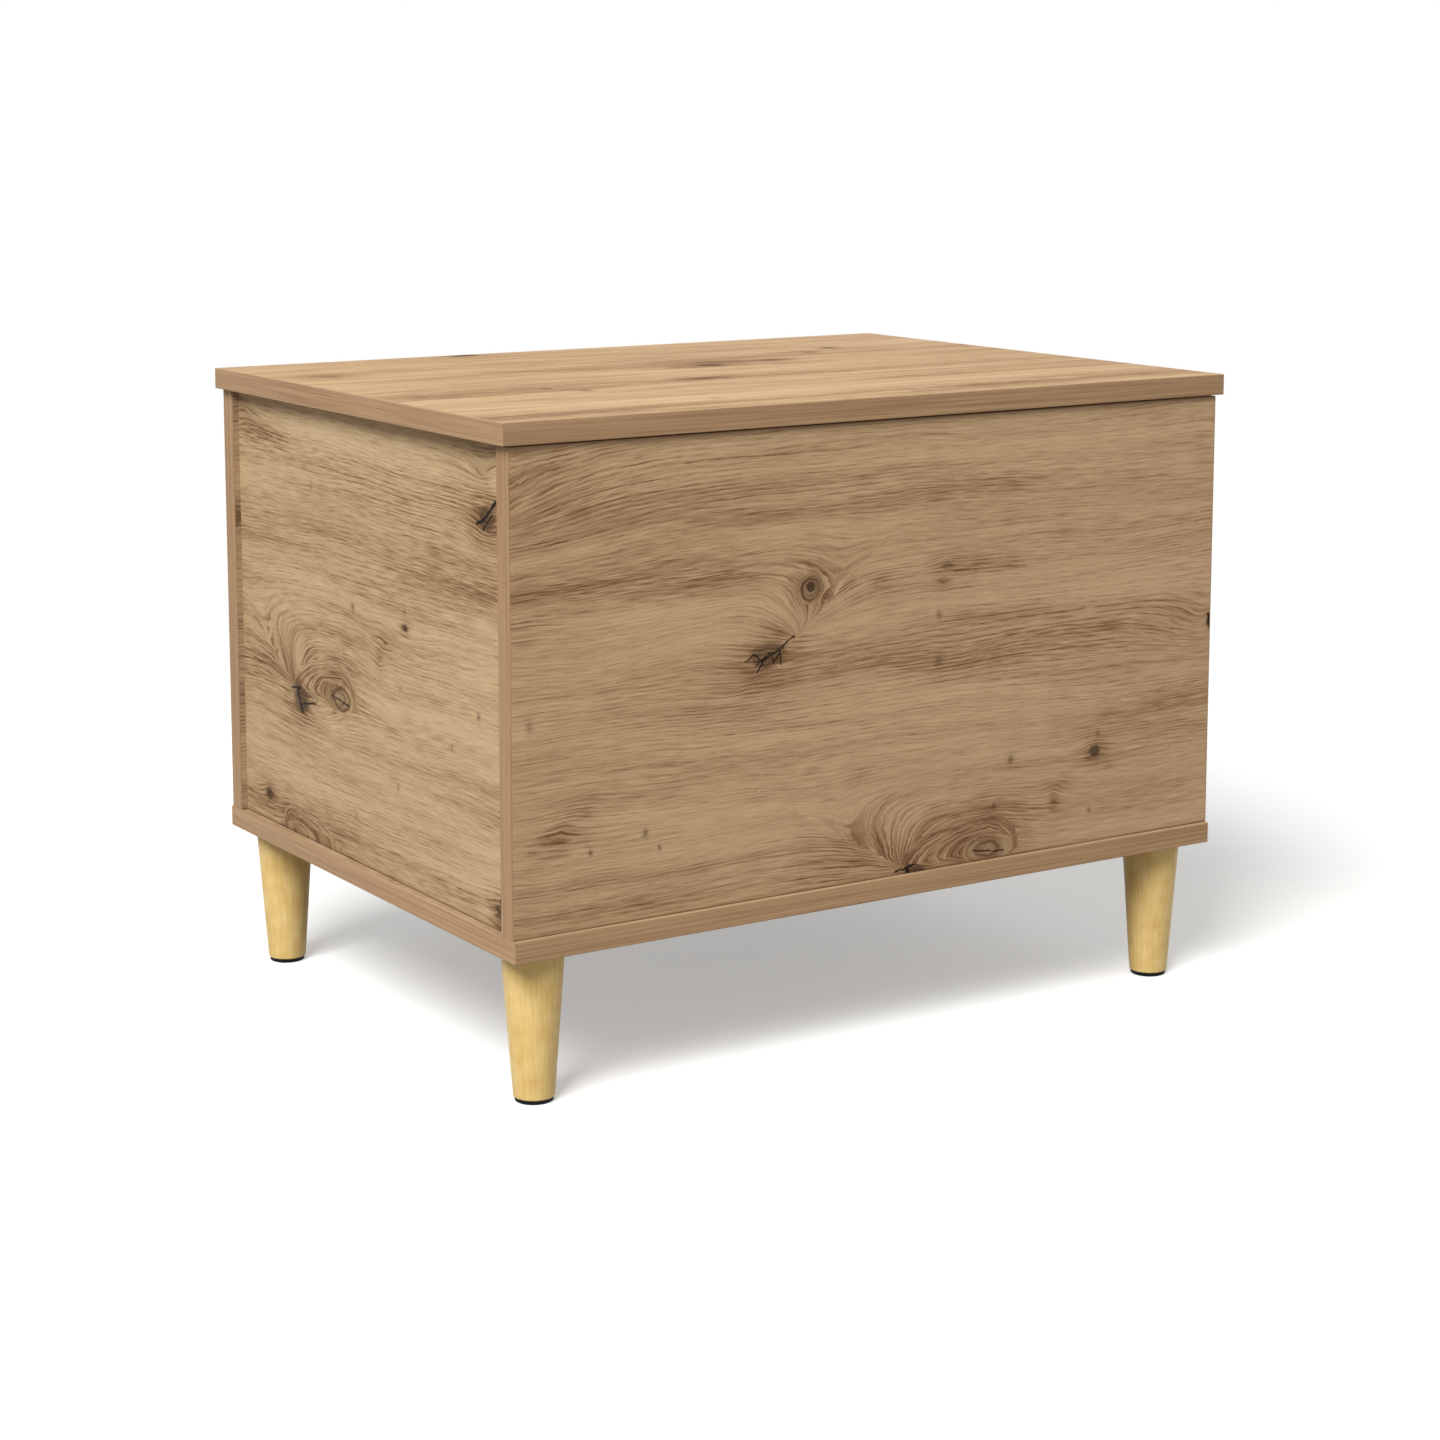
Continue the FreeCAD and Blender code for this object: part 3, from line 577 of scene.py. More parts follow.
oak_board(
    "left_panel", -1, 1, -Y, -Z, seed=2,
    sprays=[double_knot_spray(165, 204)],
    knots=[
        knot(386, 49, 22, 17, bulge=-10, parting=1.0, tail=1.3, tint=0.8, core=0.6),
        knot(380, 20, 40, 20, bulge=-14, parting=0, tint=0.25, core=0),
        *double_knot(165, 204),
        knot(120, 184, 36, 24, parting=0, tint=0.6, core=0),
        knot(165, 204, 26, 14, parting=0, tint=0.95, core=0),
        knot(268, 138, 8, 6, tint=0.7, core=0.8),
        knot(236, 154, 12, 6, tint=0.6, core=0),
        knot(229, 164, 7, 10, tint=0.5, core=0),
        knot(41, 297, 13, 9, bulge=5, tint=0.7, core=0.7),
        knot(78, 317, 17, 24, parting=0.8, rings=24, tail=6.5, tint=0.4, core=0),
        knot(397, 307, 14, 14, bulge=4, tint=0.8, core=0.35),
        knot(10, 10, 45, 22, bulge=9, parting=0, tint=0.3, core=0),
    ],
    cracks=[
        ((372, 54), (384, 49), 1.8), ((384, 49), (398, 37), 2.0), ((381, 56), (393, 46), 0.9),
        ((399, 297), (402, 308), 1.6), ((402, 308), (399, 317), 1.2), ((393, 304), (401, 306), 0.9),
        *double_knot_cracks(165, 204),
    ],
    streaks=[
        (38, 30, 55, 8, 0.8), (320, 98, 90, 13, 0.5), (390, 95, 30, 10, 0.5), (225, 207, 60, 6, 0.45),
        (60, 200, 60, 16, 0.35), (90, 300, 90, 12, 0.5), (230, 40, 150, 14, 0.25),
    ],
    flecks=[
        (97, 214, 7.0, 0.5), (105, 220, 6.0, 0.5), (94, 208, 4.5, 0.4),
        (188, 135, 2.4, 0.7), (268, 127, 2.1, 0.5), (172, 167, 1.9, 0.4), (372, 181, 2.2, 0.7),
        (254, 251, 2.1, 0.55), (334, 208, 1.7, 0.5), (188, 285, 1.8, 0.45), (123, 56, 3.2, 0.3),
        (260, 181, 1.8, 0.4),
    ],
    lines=[(250, 45, 150, 26, 0.4), (300, 110, 100, 20, 0.25)],
    weights={**layer_weights, "bands": 0.85, "comb": 1.15}, face_tint_and_painted_shade="#FAFFFF",
)
oak_board(
    "lid_panel", -1, 1, X, -Y, seed=3,
    knots=[
        knot(322, 180, 22, 15, bulge=10, tail=2.0, side=-1, tint=0.9, core=0.7),
        knot(340, 156, 45, 24, bulge=10, parting=0.4, tint=0.5, core=0),
        knot(385, 169, 20, 12, bulge=4, tint=0.8, core=0.35),
        knot(205, 7, 24, 10, tint=0.9, core=1.0),
        knot(38, 106, 26, 18, bulge=6, parting=0.4, tint=0.75, core=0.1),
        knot(448, 125, 11, 12, tint=0.6, core=0.3),
        knot(485, 102, 12, 12, tint=0.7, core=0.45),
        knot(264, 264, 20, 11, bulge=3, tint=0.8, core=0.4),
    ],
    streaks=[
        (70, 277, 110, 19, 1.0), (240, 268, 60, 14, 0.5), (330, 268, 80, 16, 0.7), (500, 262, 140, 12, 0.4),
        (40, 419, 90, 15, 0.8), (470, 415, 150, 19, 0.8), (240, 155, 130, 16, 0.6), (360, 175, 70, 18, 0.4),
        (480, 335, 140, 10, 0.4), (520, 170, 110, 18, 0.3),
    ],
    flecks=[
        (129, 270, 6.0, 0.6), (146, 295, 6.0, 0.65), (194, 388, 5.0, 0.4), (28, 278, 6.0, 0.4),
        (340, 415, 8.0, 0.3),
    ],
    lines=[(400, 330, 160, 30, 0.3)], weights={**layer_weights, "single": 0.5}, face_tint_and_painted_shade="#FFFDF5",
)
oak_board(
    "right_panel", 1, -1, Y, -Z, seed=4,
    knots=[
        knot(120, 96, 18, 12, bulge=9, tail=3.0, tint=0.6, core=0.7),
        knot(296, 224, 22, 13, bulge=26, tail=4.0, side=-1, tint=0.6, core=0.35),
        knot(60, 262, 10, 9, tint=0.6, core=0.7),
    ],
    cracks=[((111, 97), (121, 94), 2.0), ((119, 95), (131, 99), 1.6), ((284, 225), (308, 227), 1.3)],
    streaks=[(200, 60, 120, 10, 0.45), (330, 150, 90, 12, 0.4), (90, 180, 80, 9, 0.3)],
    flecks=[(210, 140, 2.6, 0.6), (352, 84, 2.4, 0.5), (168, 280, 2.4, 0.6), (380, 262, 2.2, 0.5)],
    lines=[(220, 200, 150, 30, 0.4)],
)
oak_board(
    "back_panel", 1, 1, -X, -Z, seed=5,
    knots=[
        knot(410, 120, 20, 13, bulge=12, tail=3.0, side=-1, tint=0.6, core=0.6),
        knot(150, 210, 24, 14, bulge=28, tail=4.5, tint=0.6, core=0.4),
        knot(262, 70, 10, 9, tint=0.6, core=0.7),
        knot(520, 262, 11, 10, tint=0.6, core=0.7),
        knot(588, 92, 14, 18, tint=0.7, core=0.45, depth=board_thickness),
        # Painted shade: a tall, faint brown patch down the inner face where it meets the left panel, laid as
        # a knot's stain without grain or heart
        knot(590, 160, 12, 260, parting=0, tint=0.35, core=0, depth=board_thickness),
    ],
    cracks=[((398, 121), (411, 118), 2.0), ((409, 120), (423, 125), 1.6), ((138, 211), (160, 213), 1.3)],
    streaks=[
        (300, 160, 150, 11, 0.5), (80, 90, 90, 10, 0.5), (480, 60, 110, 9, 0.4), (330, 270, 120, 12, 0.4),
    ],
    flecks=[(330, 110, 2.6, 0.6), (90, 160, 2.4, 0.5), (212, 262, 2.4, 0.6), (470, 190, 2.6, 0.5)],
    # Its inner face is painted cooler and darker, a painted shade inside the box
    lines=[(330, 200, 180, 36, 0.4)], reverse_painted_shade="#E6EDF4",
)
oak_board(
    "base_panel", -1, 1, X, -Y, seed=6,
    knots=[
        knot(180, 150, 18, 12, bulge=12, tail=3.0, tint=0.6, core=0.6),
        knot(430, 300, 20, 13, bulge=20, tail=4.0, side=-1, tint=0.6, core=0.4),
    ],
    streaks=[(300, 220, 150, 14, 0.5), (120, 340, 100, 12, 0.4), (480, 90, 90, 12, 0.4)],
    # Its top face is painted cooler and darker, a painted shade on the ledge and the floor of the box
    flecks=[(300, 120, 3.0, 0.6), (90, 250, 3.0, 0.5), (520, 210, 3.0, 0.5)], face_tint_and_painted_shade="#E4EBF2",
)

# Edge bands: straight grain along each strip, in millimetres along and across, coarse enough to show
band_tones = ((0.0, "#B4936F"), (0.45, "#A88765"), (1.0, "#927152"))
# The base's bands: the same print painted lighter, a painted light against the shade low by the floor
base_band_tones_painted_lighter = ((0.0, "#BA9873"), (0.45, "#AE8C69"), (1.0, "#977555"))
band_grain = (140.0, 1.5)
band_detail = {"Detail": 3.0, "Roughness": 0.65}
band_contrast = (0.3, 0.72)
band_roughness = (0.15, 0.4)
band_relief = 0.08
band_bump = 0.25
band_specular = 0.1


def edge_band(name, run, end_run=None, end_limit=1.0, tones=band_tones):
    """Melamine edge band with a fine straight print, its arrises rounded by the trimmer. It gives the
    eye thin parallel lines and a pale glint along each edge. Past end_limit in X it runs along end_run."""
    material, tree = new_material(name)
    point = add(tree, "ShaderNodeTexCoord").outputs["Object"]
    length, width = band_grain
    scales = [[1 / (MM * (length if part else width)) for part in axis] for axis in (run, end_run or run)]
    from_middle = add(tree, MATH, [add(tree, "ShaderNodeSeparateXYZ", [point])], operation="ABSOLUTE")
    at_end = add(tree, MATH, [from_middle, end_limit], operation="GREATER_THAN")
    scale = add(tree, MIX, {"Factor": at_end, "A": scales[0], "B": scales[1]}, data_type="VECTOR")
    drawn = add(tree, VECTOR, [point, scale], operation="MULTIPLY")
    lines = add(tree, NOISE, {"Vector": drawn, "Scale": 1.0, **band_detail})
    tone = add(tree, MAP_RANGE, [lines, *band_contrast])
    wood = add(tree, "ShaderNodeValToRGB", [tone])
    set_tones(wood.color_ramp, tones)
    rough = add(tree, MATH, [tone, *band_roughness], operation="MULTIPLY_ADD")
    bump = add(tree, "ShaderNodeBump", {
        "Strength": band_bump, "Distance": band_relief * MM, "Height": lines,
    }, invert=True)
    shader = add(tree, "ShaderNodeBsdfPrincipled", {
        "Base Color": wood, "Roughness": rough, "Normal": bump, "Specular IOR Level": band_specular,
    })
    add(tree, "ShaderNodeOutputMaterial", {"Surface": shader})
    return material


dress(edge_band("oak_edge_band_lid", X, Y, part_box("lid_panel")[1].x), "lid_edge_bands")
# The base's bands take the lighter tones, a painted light
dress(edge_band("oak_edge_band_base_painted_lighter", X, Y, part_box("base_panel")[1].x, base_band_tones_painted_lighter), "base_edge_bands")
dress(edge_band("oak_edge_band_long", X, Z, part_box("front_panel")[1].x),
      "front_edge_bands", "back_edge_bands")
dress(edge_band("oak_edge_band_side", Y), "left_edge_band", "right_edge_band")

# Turned legs: grain along and across the leg, coarse enough to show, and clouds of tone, in millimetres
leg_names = ("front_left", "front_right", "back_left", "back_right")
leg_tones = ((0.0, "#F3D593"), (0.5, "#E8C57E"), (1.0, "#D8AF66"))
leg_grain = (55.0, 1.6)
leg_detail = {"Detail": 3.0, "Roughness": 0.6}
leg_cloud = 14.0
leg_contrast = (0.6, 1.45)
leg_roughness = (0.12, 0.36)
leg_relief = 0.1
leg_bump = 0.2
leg_specular = 0.2


def turned_wood(name):
    """Rubberwood turned on a lathe, sanded and lacquered. It gives the eye a pale yellow satin with
    short fine pores along the leg."""
    material, tree = new_material(name)
    point = add(tree, "ShaderNodeTexCoord").outputs["Object"]
    length, width = leg_grain
    scale = (1 / (width * MM), 1 / (width * MM), 1 / (length * MM))
    drawn = add(tree, VECTOR, [point, scale], operation="MULTIPLY")
    lines = add(tree, NOISE, {"Vector": drawn, "Scale": 1.0, **leg_detail})
    cloud = add(tree, NOISE, {"Vector": point, "Scale": 1 / (leg_cloud * MM)})
    mixed = add(tree, MATH, [lines, cloud], operation="ADD")
    tone = add(tree, MAP_RANGE, [mixed, *leg_contrast])
    wood = add(tree, "ShaderNodeValToRGB", [tone])
    set_tones(wood.color_ramp, leg_tones)
    rough = add(tree, MATH, [tone, *leg_roughness], operation="MULTIPLY_ADD")
    bump = add(tree, "ShaderNodeBump", {
        "Strength": leg_bump, "Distance": leg_relief * MM, "Height": lines,
    }, invert=True)
    shader = add(tree, "ShaderNodeBsdfPrincipled", {
        "Base Color": wood, "Roughness": rough, "Normal": bump, "Specular IOR Level": leg_specular,
    })
    add(tree, "ShaderNodeOutputMaterial", {"Surface": shader})
    return material


# Small pieces: two colours, grit and relief in millimetres, and the range of roughness. The grit of the real
# surfaces is finer, and is drawn this coarse so that it shows
speckle_detail = 3.0
speckle_range = (0.3, 0.7)
speckle_bump = 0.2


def speckled(name, light, dark, grit, relief, roughness, surface):
    """A surface with a fine speckle between two colours, and a matching bump, both in millimetres."""
    material, tree = new_material(name)
    point = add(tree, "ShaderNodeTexCoord").outputs["Object"]
    noise = add(tree, NOISE, {"Vector": point, "Scale": 1 / (grit * MM), "Detail": speckle_detail})
    colour = add(tree, MIX, {"Factor": noise, "A": linear(light), "B": linear(dark)}, data_type="RGBA")
    rough = add(tree, MAP_RANGE, [noise, *speckle_range, *roughness])
    bump = add(tree, "ShaderNodeBump", {
        "Strength": speckle_bump, "Distance": relief * MM, "Height": noise,
    })
    shader = add(tree, "ShaderNodeBsdfPrincipled", {
        "Base Color": colour, "Roughness": rough, "Normal": bump, **surface,
    })
    add(tree, "ShaderNodeOutputMaterial", {"Surface": shader})
    return material


metal = {"Metallic": 1.0}
# Moulded polyethylene gives the eye a dull near-black with the faint grain of its mould
black_plastic = speckled("moulded_black_polyethylene", "#0E0E0F", "#080809", 0.8, 0.04, (0.5, 0.65),
                         {"Specular IOR Level": 0.15})
# Cast polyurethane gives milky drops that let the wood below show
clear_rubber = speckled("soft_clear_polyurethane", "#E9E9E4", "#DADAD2", 1.5, 0.01, (0.2, 0.3),
                        {"Transmission Weight": 0.8})
# Nickel plate gives a warm, slightly soft shine
nickel = speckled("nickel_plated_steel", "#ABA69D", "#9C968B", 0.9, 0.006, (0.28, 0.4), metal)
# Zinc plate gives a cooler and brighter one
zinc = speckled("zinc_plated_steel", "#B6BABD", "#A6ABAF", 0.9, 0.008, (0.3, 0.42), metal)
# Zinc as it leaves the die gives a flat grey with a fine skin
cast_zinc = speckled("die_cast_zinc", "#B4B5B6", "#A1A2A4", 0.9, 0.03, (0.42, 0.58), metal)
# Beech, turned and left raw, gives a dry pale brown
beech = speckled("raw_beech", "#DDBD92", "#C9A475", 1.5, 0.05, (0.6, 0.75), {"Specular IOR Level": 0.3})
dress(clear_rubber, "lid_bumpers")
dress(nickel, "left_hinge_case_leaf", "right_hinge_case_leaf", "left_hinge_lid_leaf", "right_hinge_lid_leaf",
      "left_hinge_pin", "right_hinge_pin", "stay_guide_plate", "stay_guide_pin", "stay_lid_bracket",
      "stay_pivot_rivet", "stay_arm")
dress(zinc, "glide_nails", "leg_bolts", "leg_inserts", "cam_bolts")
dress(cast_zinc, "cam_locks")
dress(beech, "corner_dowels", "base_dowels")

# Legs and glides: sizes in millimetres
leg_foot_radius = 14.0
glide_radius = 13.0
rim_round = 1.0
rim_steps = 6
sharp_edge = math.radians(30)
turned_sides = 96


def rounded_rim(radius, bottom):
    """The rounded lower rim of a turned piece, as radii and heights."""
    turns = [math.pi / 2 * step / rim_steps for step in range(rim_steps + 1)]
    return [
        (radius - rim_round * (1 - math.sin(turn)), bottom + rim_round * (1 - math.cos(turn)))
        for turn in turns
    ]


def turned_piece(name, axis, outline, finish):
    """A closed piece turned about an upright axis, from the radii and heights of its outline."""
    turns = [2 * math.pi * side / turned_sides for side in range(turned_sides)]
    points = [
        axis + Vector((radius * math.cos(turn), radius * math.sin(turn), height)) * MM
        for radius, height in outline for turn in turns
    ]
    rings = [list(range(low, low + turned_sides)) for low in range(0, len(points), turned_sides)]
    faces = [rings[0][::-1], rings[-1]]
    for lower, upper in zip(rings, rings[1:]):
        for side in range(turned_sides):
            faces.append((lower[side - 1], lower[side], upper[side], upper[side - 1]))
    mesh = bpy.data.meshes.new(name)
    mesh.from_pydata(points, [], faces)
    mesh.shade_smooth()
    mesh.set_sharp_from_angle(angle=sharp_edge)
    mesh.materials.append(finish)
    piece = bpy.data.objects.new(name, mesh)
    bpy.context.scene.collection.objects.link(piece)
    return piece


leg_wood = turned_wood("lacquered_rubberwood")
for name in leg_names:
    low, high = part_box(name + "_leg")
    axis = Vector(((low.x + high.x) / 2, (low.y + high.y) / 2, 0.0))
    leg_foot = low.z / MM
    leg_top = ((high.x - low.x) / 2 / MM, high.z / MM)
    leg_outline = [*rounded_rim(leg_foot_radius, leg_foot), leg_top]
    leg = turned_piece(name + "_turned_leg", axis, leg_outline, leg_wood)
    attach(leg, "case")
    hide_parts(name + "_leg")
    glide_outline = [*rounded_rim(glide_radius, 0.0), (glide_radius, leg_foot)]
    glide = turned_piece(name + "_foot_glide", axis, glide_outline, black_plastic)
    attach(glide, "case")
    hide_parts(name + "_glide")

# Screws: sizes in millimetres
small_screw = {
    "Head Radius": 3.0, "Head Height": 1.5, "Collar Radius": 1.45, "Collar End": 2.5, "Core Radius": 1.1,
    "Thread Height": 0.35, "Thread Pitch": 1.3, "Length": 11.0, "Recess Length": 3.2, "Recess Width": 0.7,
    "Recess Depth": 1.2,
}
base_screw = {
    "Head Radius": 5.0, "Head Height": 3.0, "Collar Radius": 3.4, "Collar End": 15.0, "Core Radius": 1.9,
    "Thread Height": 0.55, "Thread Pitch": 3.0, "Length": 49.0, "Recess Length": 4.0, "Recess Width": 4.0,
    "Recess Depth": 3.0,
}
screw_sides = 32
thread_sides = 3
thread_steps = 18
screw_seed = 7


def make_screw_tree():
    """Screws driven in at each point along its direction: head, collar, core, thread and driver recess."""
    tree = bpy.data.node_groups.new("screws", "GeometryNodeTree")
    tree.interface.new_socket("Geometry", in_out="INPUT", socket_type="NodeSocketGeometry")
    for name in small_screw:
        tree.interface.new_socket(name, in_out="INPUT", socket_type="NodeSocketFloat")
    tree.interface.new_socket("Six Sided", in_out="INPUT", socket_type="NodeSocketBool")
    tree.interface.new_socket("Finish", in_out="INPUT", socket_type="NodeSocketMaterial")
    tree.interface.new_socket("Geometry", in_out="OUTPUT", socket_type="NodeSocketGeometry")
    given = add(tree, "NodeGroupInput").outputs

    # Head with a cross or a hexagon cut into it
    around = {"Vertices": screw_sides}
    head = add(tree, "GeometryNodeMeshCone", {
        **around, "Radius Top": given["Collar Radius"], "Radius Bottom": given["Head Radius"],
        "Depth": given["Head Height"],
    })
    deep = add(tree, MATH, [given["Recess Depth"], 2.0], operation="MULTIPLY")
    crossed = head
    for sizes in (("Recess Length", "Recess Width"), ("Recess Width", "Recess Length")):
        size = add(tree, "ShaderNodeCombineXYZ", [given[sizes[0]], given[sizes[1]], deep])
        bar = add(tree, "GeometryNodeMeshCube", {"Size": size})
        crossed = add(tree, "GeometryNodeMeshBoolean", {"Mesh 1": crossed, "Mesh 2": bar}, solver="EXACT")
    corner = add(tree, MATH, [given["Recess Width"], 2 * math.cos(math.pi / 6)], operation="DIVIDE")
    socket = add(tree, "GeometryNodeMeshCylinder", {"Vertices": 6, "Radius": corner, "Depth": deep})
    socketed = add(tree, "GeometryNodeMeshBoolean", {"Mesh 1": head, "Mesh 2": socket}, solver="EXACT")
    cut_head = add(tree, "GeometryNodeSwitch", {
        "Switch": given["Six Sided"], "False": crossed, "True": socketed,
    }, input_type="GEOMETRY")
    parts = [cut_head]

    # Collar under the head, then the core down to its point
    collar_length = add(tree, MATH, [given["Collar End"], given["Head Height"]], operation="SUBTRACT")
    core_end = add(tree, MATH, [given["Length"], given["Thread Pitch"]], operation="SUBTRACT")
    core_length = add(tree, MATH, [core_end, given["Head Height"]], operation="SUBTRACT")
    for bottom, top, start, length in (
        (given["Collar Radius"], given["Core Radius"], given["Head Height"], collar_length),
        (given["Core Radius"], given["Core Radius"], given["Head Height"], core_length),
        (given["Core Radius"], 0.0, core_end, given["Thread Pitch"]),
    ):
        cone = add(tree, "GeometryNodeMeshCone", {
            **around, "Radius Top": top, "Radius Bottom": bottom, "Depth": length,
        })
        shift = add(tree, "ShaderNodeCombineXYZ", {"Z": start})
        parts.append(add(tree, "GeometryNodeTransform", {"Geometry": cone, "Translation": shift}))

    # Thread wound round the core
    thread_length = add(tree, MATH, [core_end, given["Collar End"]], operation="SUBTRACT")
    turns = add(tree, MATH, [thread_length, given["Thread Pitch"]], operation="DIVIDE")
    winding = add(tree, "GeometryNodeCurveSpiral", {
        "Resolution": thread_steps, "Rotations": turns, "Start Radius": given["Core Radius"],
        "End Radius": given["Core Radius"], "Height": thread_length,
    })
    ridge = add(tree, "GeometryNodeCurvePrimitiveCircle", {
        "Resolution": thread_sides, "Radius": given["Thread Height"],
    })
    thread = add(tree, "GeometryNodeCurveToMesh", {
        "Curve": winding, "Profile Curve": ridge, "Fill Caps": True,
    })
    shift = add(tree, "ShaderNodeCombineXYZ", {"Z": given["Collar End"]})
    parts.append(add(tree, "GeometryNodeTransform", {"Geometry": thread, "Translation": shift}))

    # One at each point, each turned as the driver left it
    screw = add(tree, "GeometryNodeJoinGeometry")
    for part in parts:
        tree.links.new(part.outputs[0], screw.inputs[0])
    small = add(tree, "GeometryNodeTransform", {"Geometry": screw, "Scale": (MM, MM, MM)})
    direction = add(tree, "GeometryNodeInputNamedAttribute", {"Name": "direction"}, data_type="FLOAT_VECTOR")
    facing = add(tree, "FunctionNodeAlignRotationToVector", {"Vector": direction}, axis="Z")
    spin = add(tree, "FunctionNodeRandomValue", {"Min": 0.0, "Max": math.pi, "Seed": screw_seed},
               data_type="FLOAT")
    turn = add(tree, "FunctionNodeAxisAngleToRotation", {"Axis": (0.0, 0.0, 1.0), "Angle": spin})
    turned = add(tree, "FunctionNodeRotateRotation", {"Rotation": facing, "Rotate By": turn},
                 rotation_space="LOCAL")
    screws = add(tree, "GeometryNodeInstanceOnPoints", {
        "Points": given["Geometry"], "Instance": small, "Rotation": turned,
    })
    real = add(tree, "GeometryNodeRealizeInstances", {"Geometry": screws})
    finished = add(tree, "GeometryNodeSetMaterial", {"Geometry": real, "Material": given["Finish"]})
    add(tree, "NodeGroupOutput", {"Geometry": finished})
    return tree


screw_tree = make_screw_tree()


def make_screws(name, places, sizes, six_sided, finish):
    """A mesh of screws, each given by its place and the direction it is driven in."""
    points = bpy.data.meshes.new(name + "_points")
    points.from_pydata([place for place, direction in places], [], [])
    directions = points.attributes.new("direction", "FLOAT_VECTOR", "POINT")
    for at, (place, direction) in zip(directions.data, places):
        at.vector = direction
    holder = bpy.data.objects.new(name + "_points", points)
    bpy.context.scene.collection.objects.link(holder)
    modifier = holder.modifiers.new("screws", "NODES")
    modifier.node_group = screw_tree
    values = {**sizes, "Six Sided": six_sided, "Finish": finish}
    for item in screw_tree.interface.items_tree:
        if item.in_out == "INPUT" and item.name in values:
            modifier[item.identifier] = values[item.name]
    evaluated = holder.evaluated_get(bpy.context.evaluated_depsgraph_get())
    mesh = bpy.data.meshes.new_from_object(evaluated)
    bpy.data.objects.remove(holder)
    mesh.materials.clear()
    mesh.materials.append(finish)
    mesh.name = name
    screws = bpy.data.objects.new(name, mesh)
    bpy.context.scene.collection.objects.link(screws)
    return screws


# Steps from the middle of each set of screws, in millimetres
hinge_steps = [(middle + step, 0, 0) for middle in (-180, 180) for step in (-18, 0, 18)]
guide_steps = [(0, -15, 0), (0, 15, 0)]
bracket_steps = [(-5, 0, 0), (5, 0, 0)]
long_panel_steps = [(x, y, 0) for x in (-200, 0, 200) for y in (-212, 212)]
side_panel_steps = [(x, y, 0) for x in (-282, 282) for y in (-109.5, 109.5)]


def driven(node, direction, steps):
    """Places and directions of screws, from the side of a CAD node's box that they are driven in at."""
    low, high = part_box(node)
    start = (low + high) / 2 - direction * abs(direction.dot(high - low)) / 2
    return [(start + Vector(step) * MM, direction) for step in steps]


case_screws = make_screws(
    "hinge_and_stay_screws_in_case",
    driven("hinge_case_screws", -Z, hinge_steps) + driven("stay_guide_screws", X, guide_steps),
    small_screw, False, nickel,
)
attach(case_screws, "case")
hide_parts("hinge_case_screws", "stay_guide_screws")
lid_screws = make_screws(
    "hinge_and_stay_screws_in_lid",
    driven("hinge_lid_screws", Z, hinge_steps) + driven("stay_lid_screws", Z, bracket_steps),
    small_screw, False, nickel,
)
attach(lid_screws, "lid")
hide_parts("hinge_lid_screws", "stay_lid_screws")
floor_screws = make_screws(
    "base_screws_from_below",
    driven("base_screws", Z, long_panel_steps + side_panel_steps),
    base_screw, True, zinc,
)
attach(floor_screws, "case")
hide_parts("base_screws")


def add_seen(tree):
    """One for rays from the eye, also by way of a reflection or through glass, and nought for the rest."""
    path = add(tree, "ShaderNodeLightPath").outputs
    seen = add(tree, MATH, [path["Is Camera Ray"], path["Is Glossy Ray"]], operation="MAXIMUM")
    return add(tree, MATH, [seen, path["Is Transmission Ray"]], operation="MAXIMUM")


def make_surround():
    """White to the eye and in reflections, and a soft light on everything else, more of it from low on
    the right."""
    world = bpy.data.worlds.new("studio_surround")
    bpy.context.scene.world = world
    world.use_nodes = True
    tree = world.node_tree
    tree.nodes.clear()
    seen = add_seen(tree)
    direction = add(tree, "ShaderNodeTexCoord").outputs["Generated"]
    toward = add(tree, "ShaderNodeSeparateXYZ", [direction]).outputs
    right = add(tree, MATH, [toward["X"], 0.0], operation="MAXIMUM")
    gain = add(tree, MATH, [right, surround_right_gain, 1.0], operation="MULTIPLY_ADD")
    gain = add(tree, MATH, [toward["Z"], surround_top_gain, gain], operation="MULTIPLY_ADD")
    fill = add(tree, MATH, [gain, surround_level], operation="MULTIPLY")
    level = add(tree, MIX, {"Factor": seen, "A": fill, "B": 1.0}, data_type="FLOAT")
    light = add(tree, "ShaderNodeBackground", {"Color": (1, 1, 1, 1), "Strength": level})
    add(tree, "ShaderNodeOutputWorld", {"Surface": light})


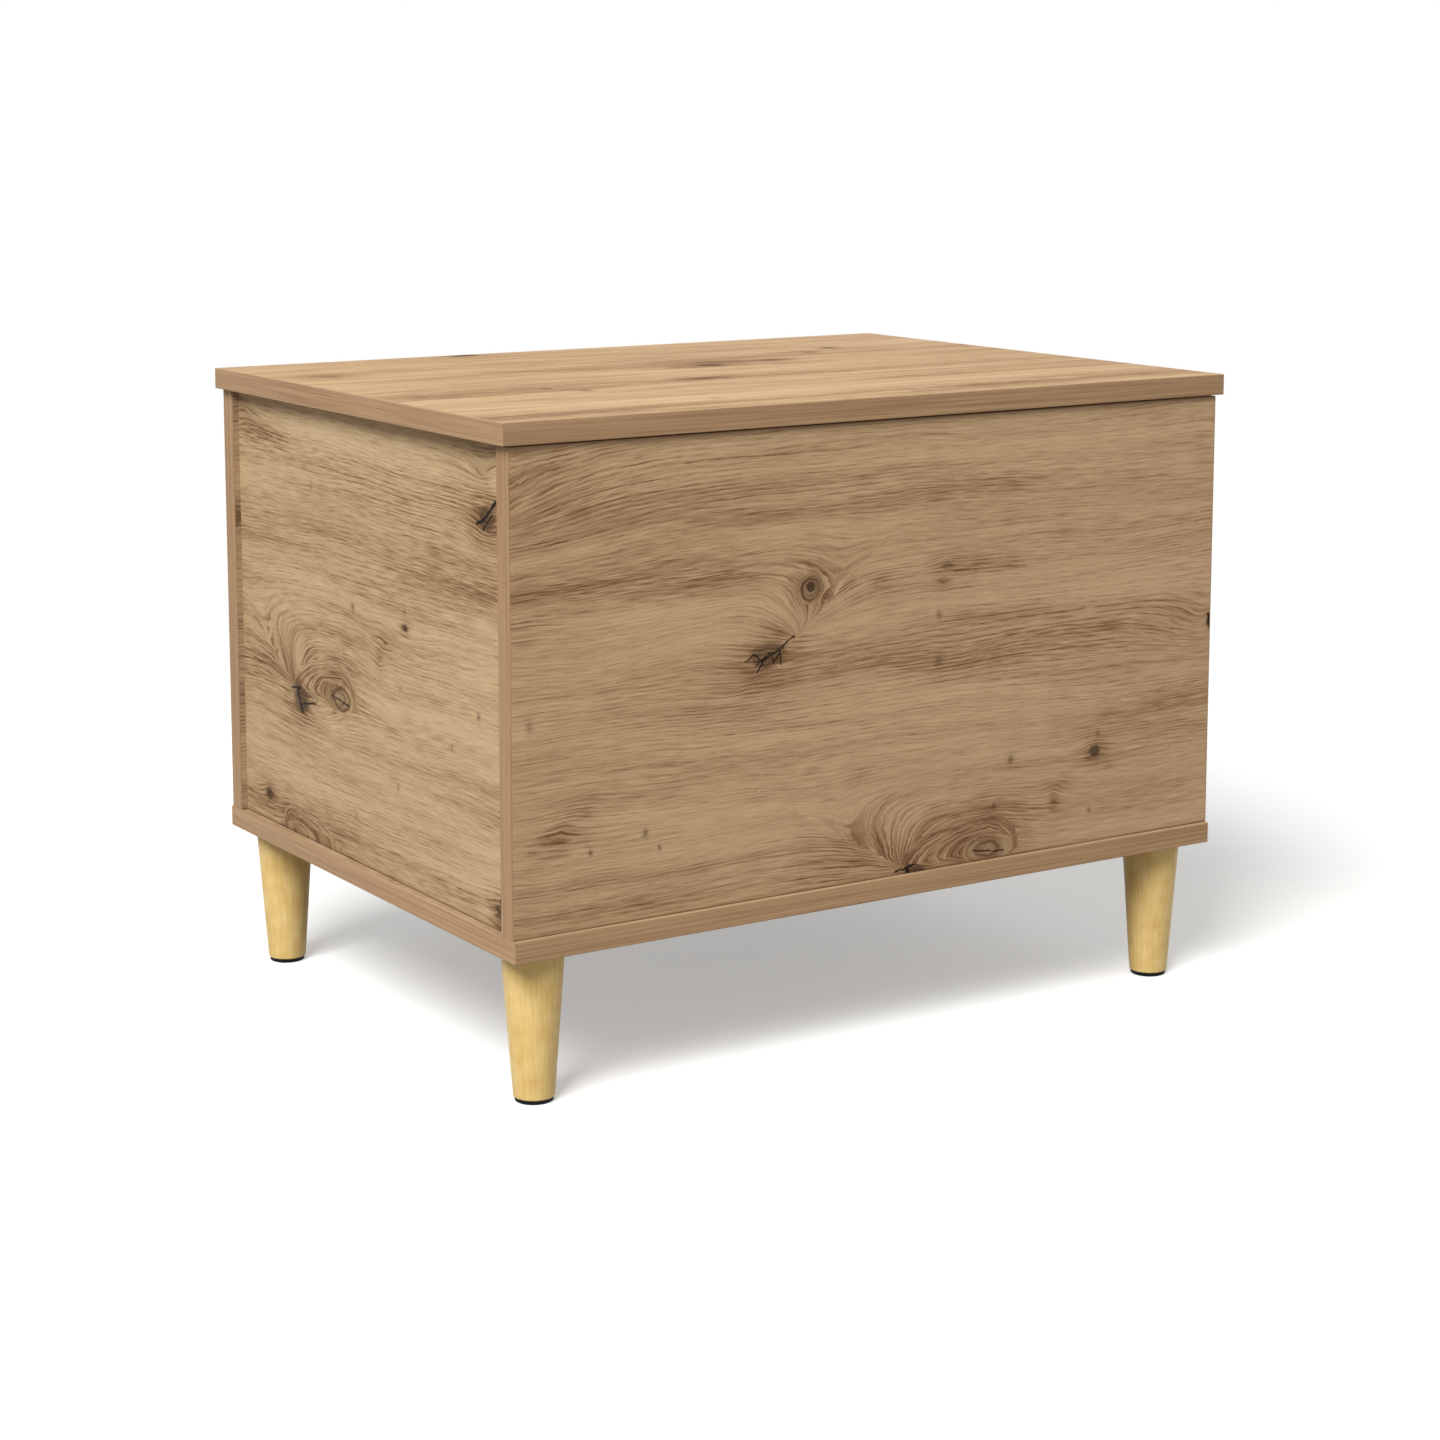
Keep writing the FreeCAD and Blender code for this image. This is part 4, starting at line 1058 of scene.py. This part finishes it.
def make_floor():
    """A pale floor that keeps the object's shadow and fades into the white surround."""
    bpy.ops.mesh.primitive_circle_add(vertices=floor_sides, radius=floor_radius, fill_type="NGON")
    floor = bpy.context.object
    floor.name = "studio_floor"
    material, tree = new_material("pale_studio_floor")
    seen = add_seen(tree)
    away = add(tree, VECTOR, [add(tree, "ShaderNodeTexCoord").outputs["Object"]], operation="LENGTH")
    fade = add(tree, MAP_RANGE, [away, *floor_fade], interpolation_type="SMOOTHSTEP")
    fade = add(tree, MATH, [fade, seen], operation="MULTIPLY")
    lift = add(tree, MATH, [seen, floor_lift], operation="MULTIPLY")
    tone = add(tree, MIX, {"Factor": seen, "A": linear(floor_bounce), "B": linear(floor_colour)},
               data_type="RGBA")
    paint = add(tree, "ShaderNodeBsdfDiffuse", {"Color": tone})
    glow = add(tree, "ShaderNodeEmission", {"Color": (1, 1, 1, 1), "Strength": lift})
    near = add(tree, "ShaderNodeAddShader", [paint, glow])
    white = add(tree, "ShaderNodeEmission", {"Color": (1, 1, 1, 1), "Strength": 1.0})
    both = add(tree, "ShaderNodeMixShader", [fade, near, white])
    add(tree, "ShaderNodeOutputMaterial", {"Surface": both})
    floor.data.materials.append(material)


def make_lamp():
    """One square soft lamp."""
    data = bpy.data.lights.new("soft_lamp", "AREA")
    data.shape = "SQUARE"
    data.size = lamp_size
    data.energy = lamp_power
    lamp = bpy.data.objects.new("soft_lamp", data)
    lamp.location = lamp_place
    lamp.rotation_euler = (lamp_aim - lamp_place).to_track_quat("-Z", "Y").to_euler()
    bpy.context.scene.collection.objects.link(lamp)


def make_camera():
    """The camera, at the photograph's viewing angle."""
    data = bpy.data.cameras.new("camera")
    data.sensor_width = camera_sensor
    data.lens = camera_lens
    data.shift_y = camera_shift
    camera = bpy.data.objects.new("camera", data)
    camera.location = camera_place
    camera.rotation_euler = (math.pi / 2 - camera_dip, 0.0, camera_turn)
    bpy.context.scene.collection.objects.link(camera)
    bpy.context.scene.camera = camera


make_surround()
make_floor()
make_lamp()
make_camera()
bpy.context.scene.view_settings.view_transform = "Standard"
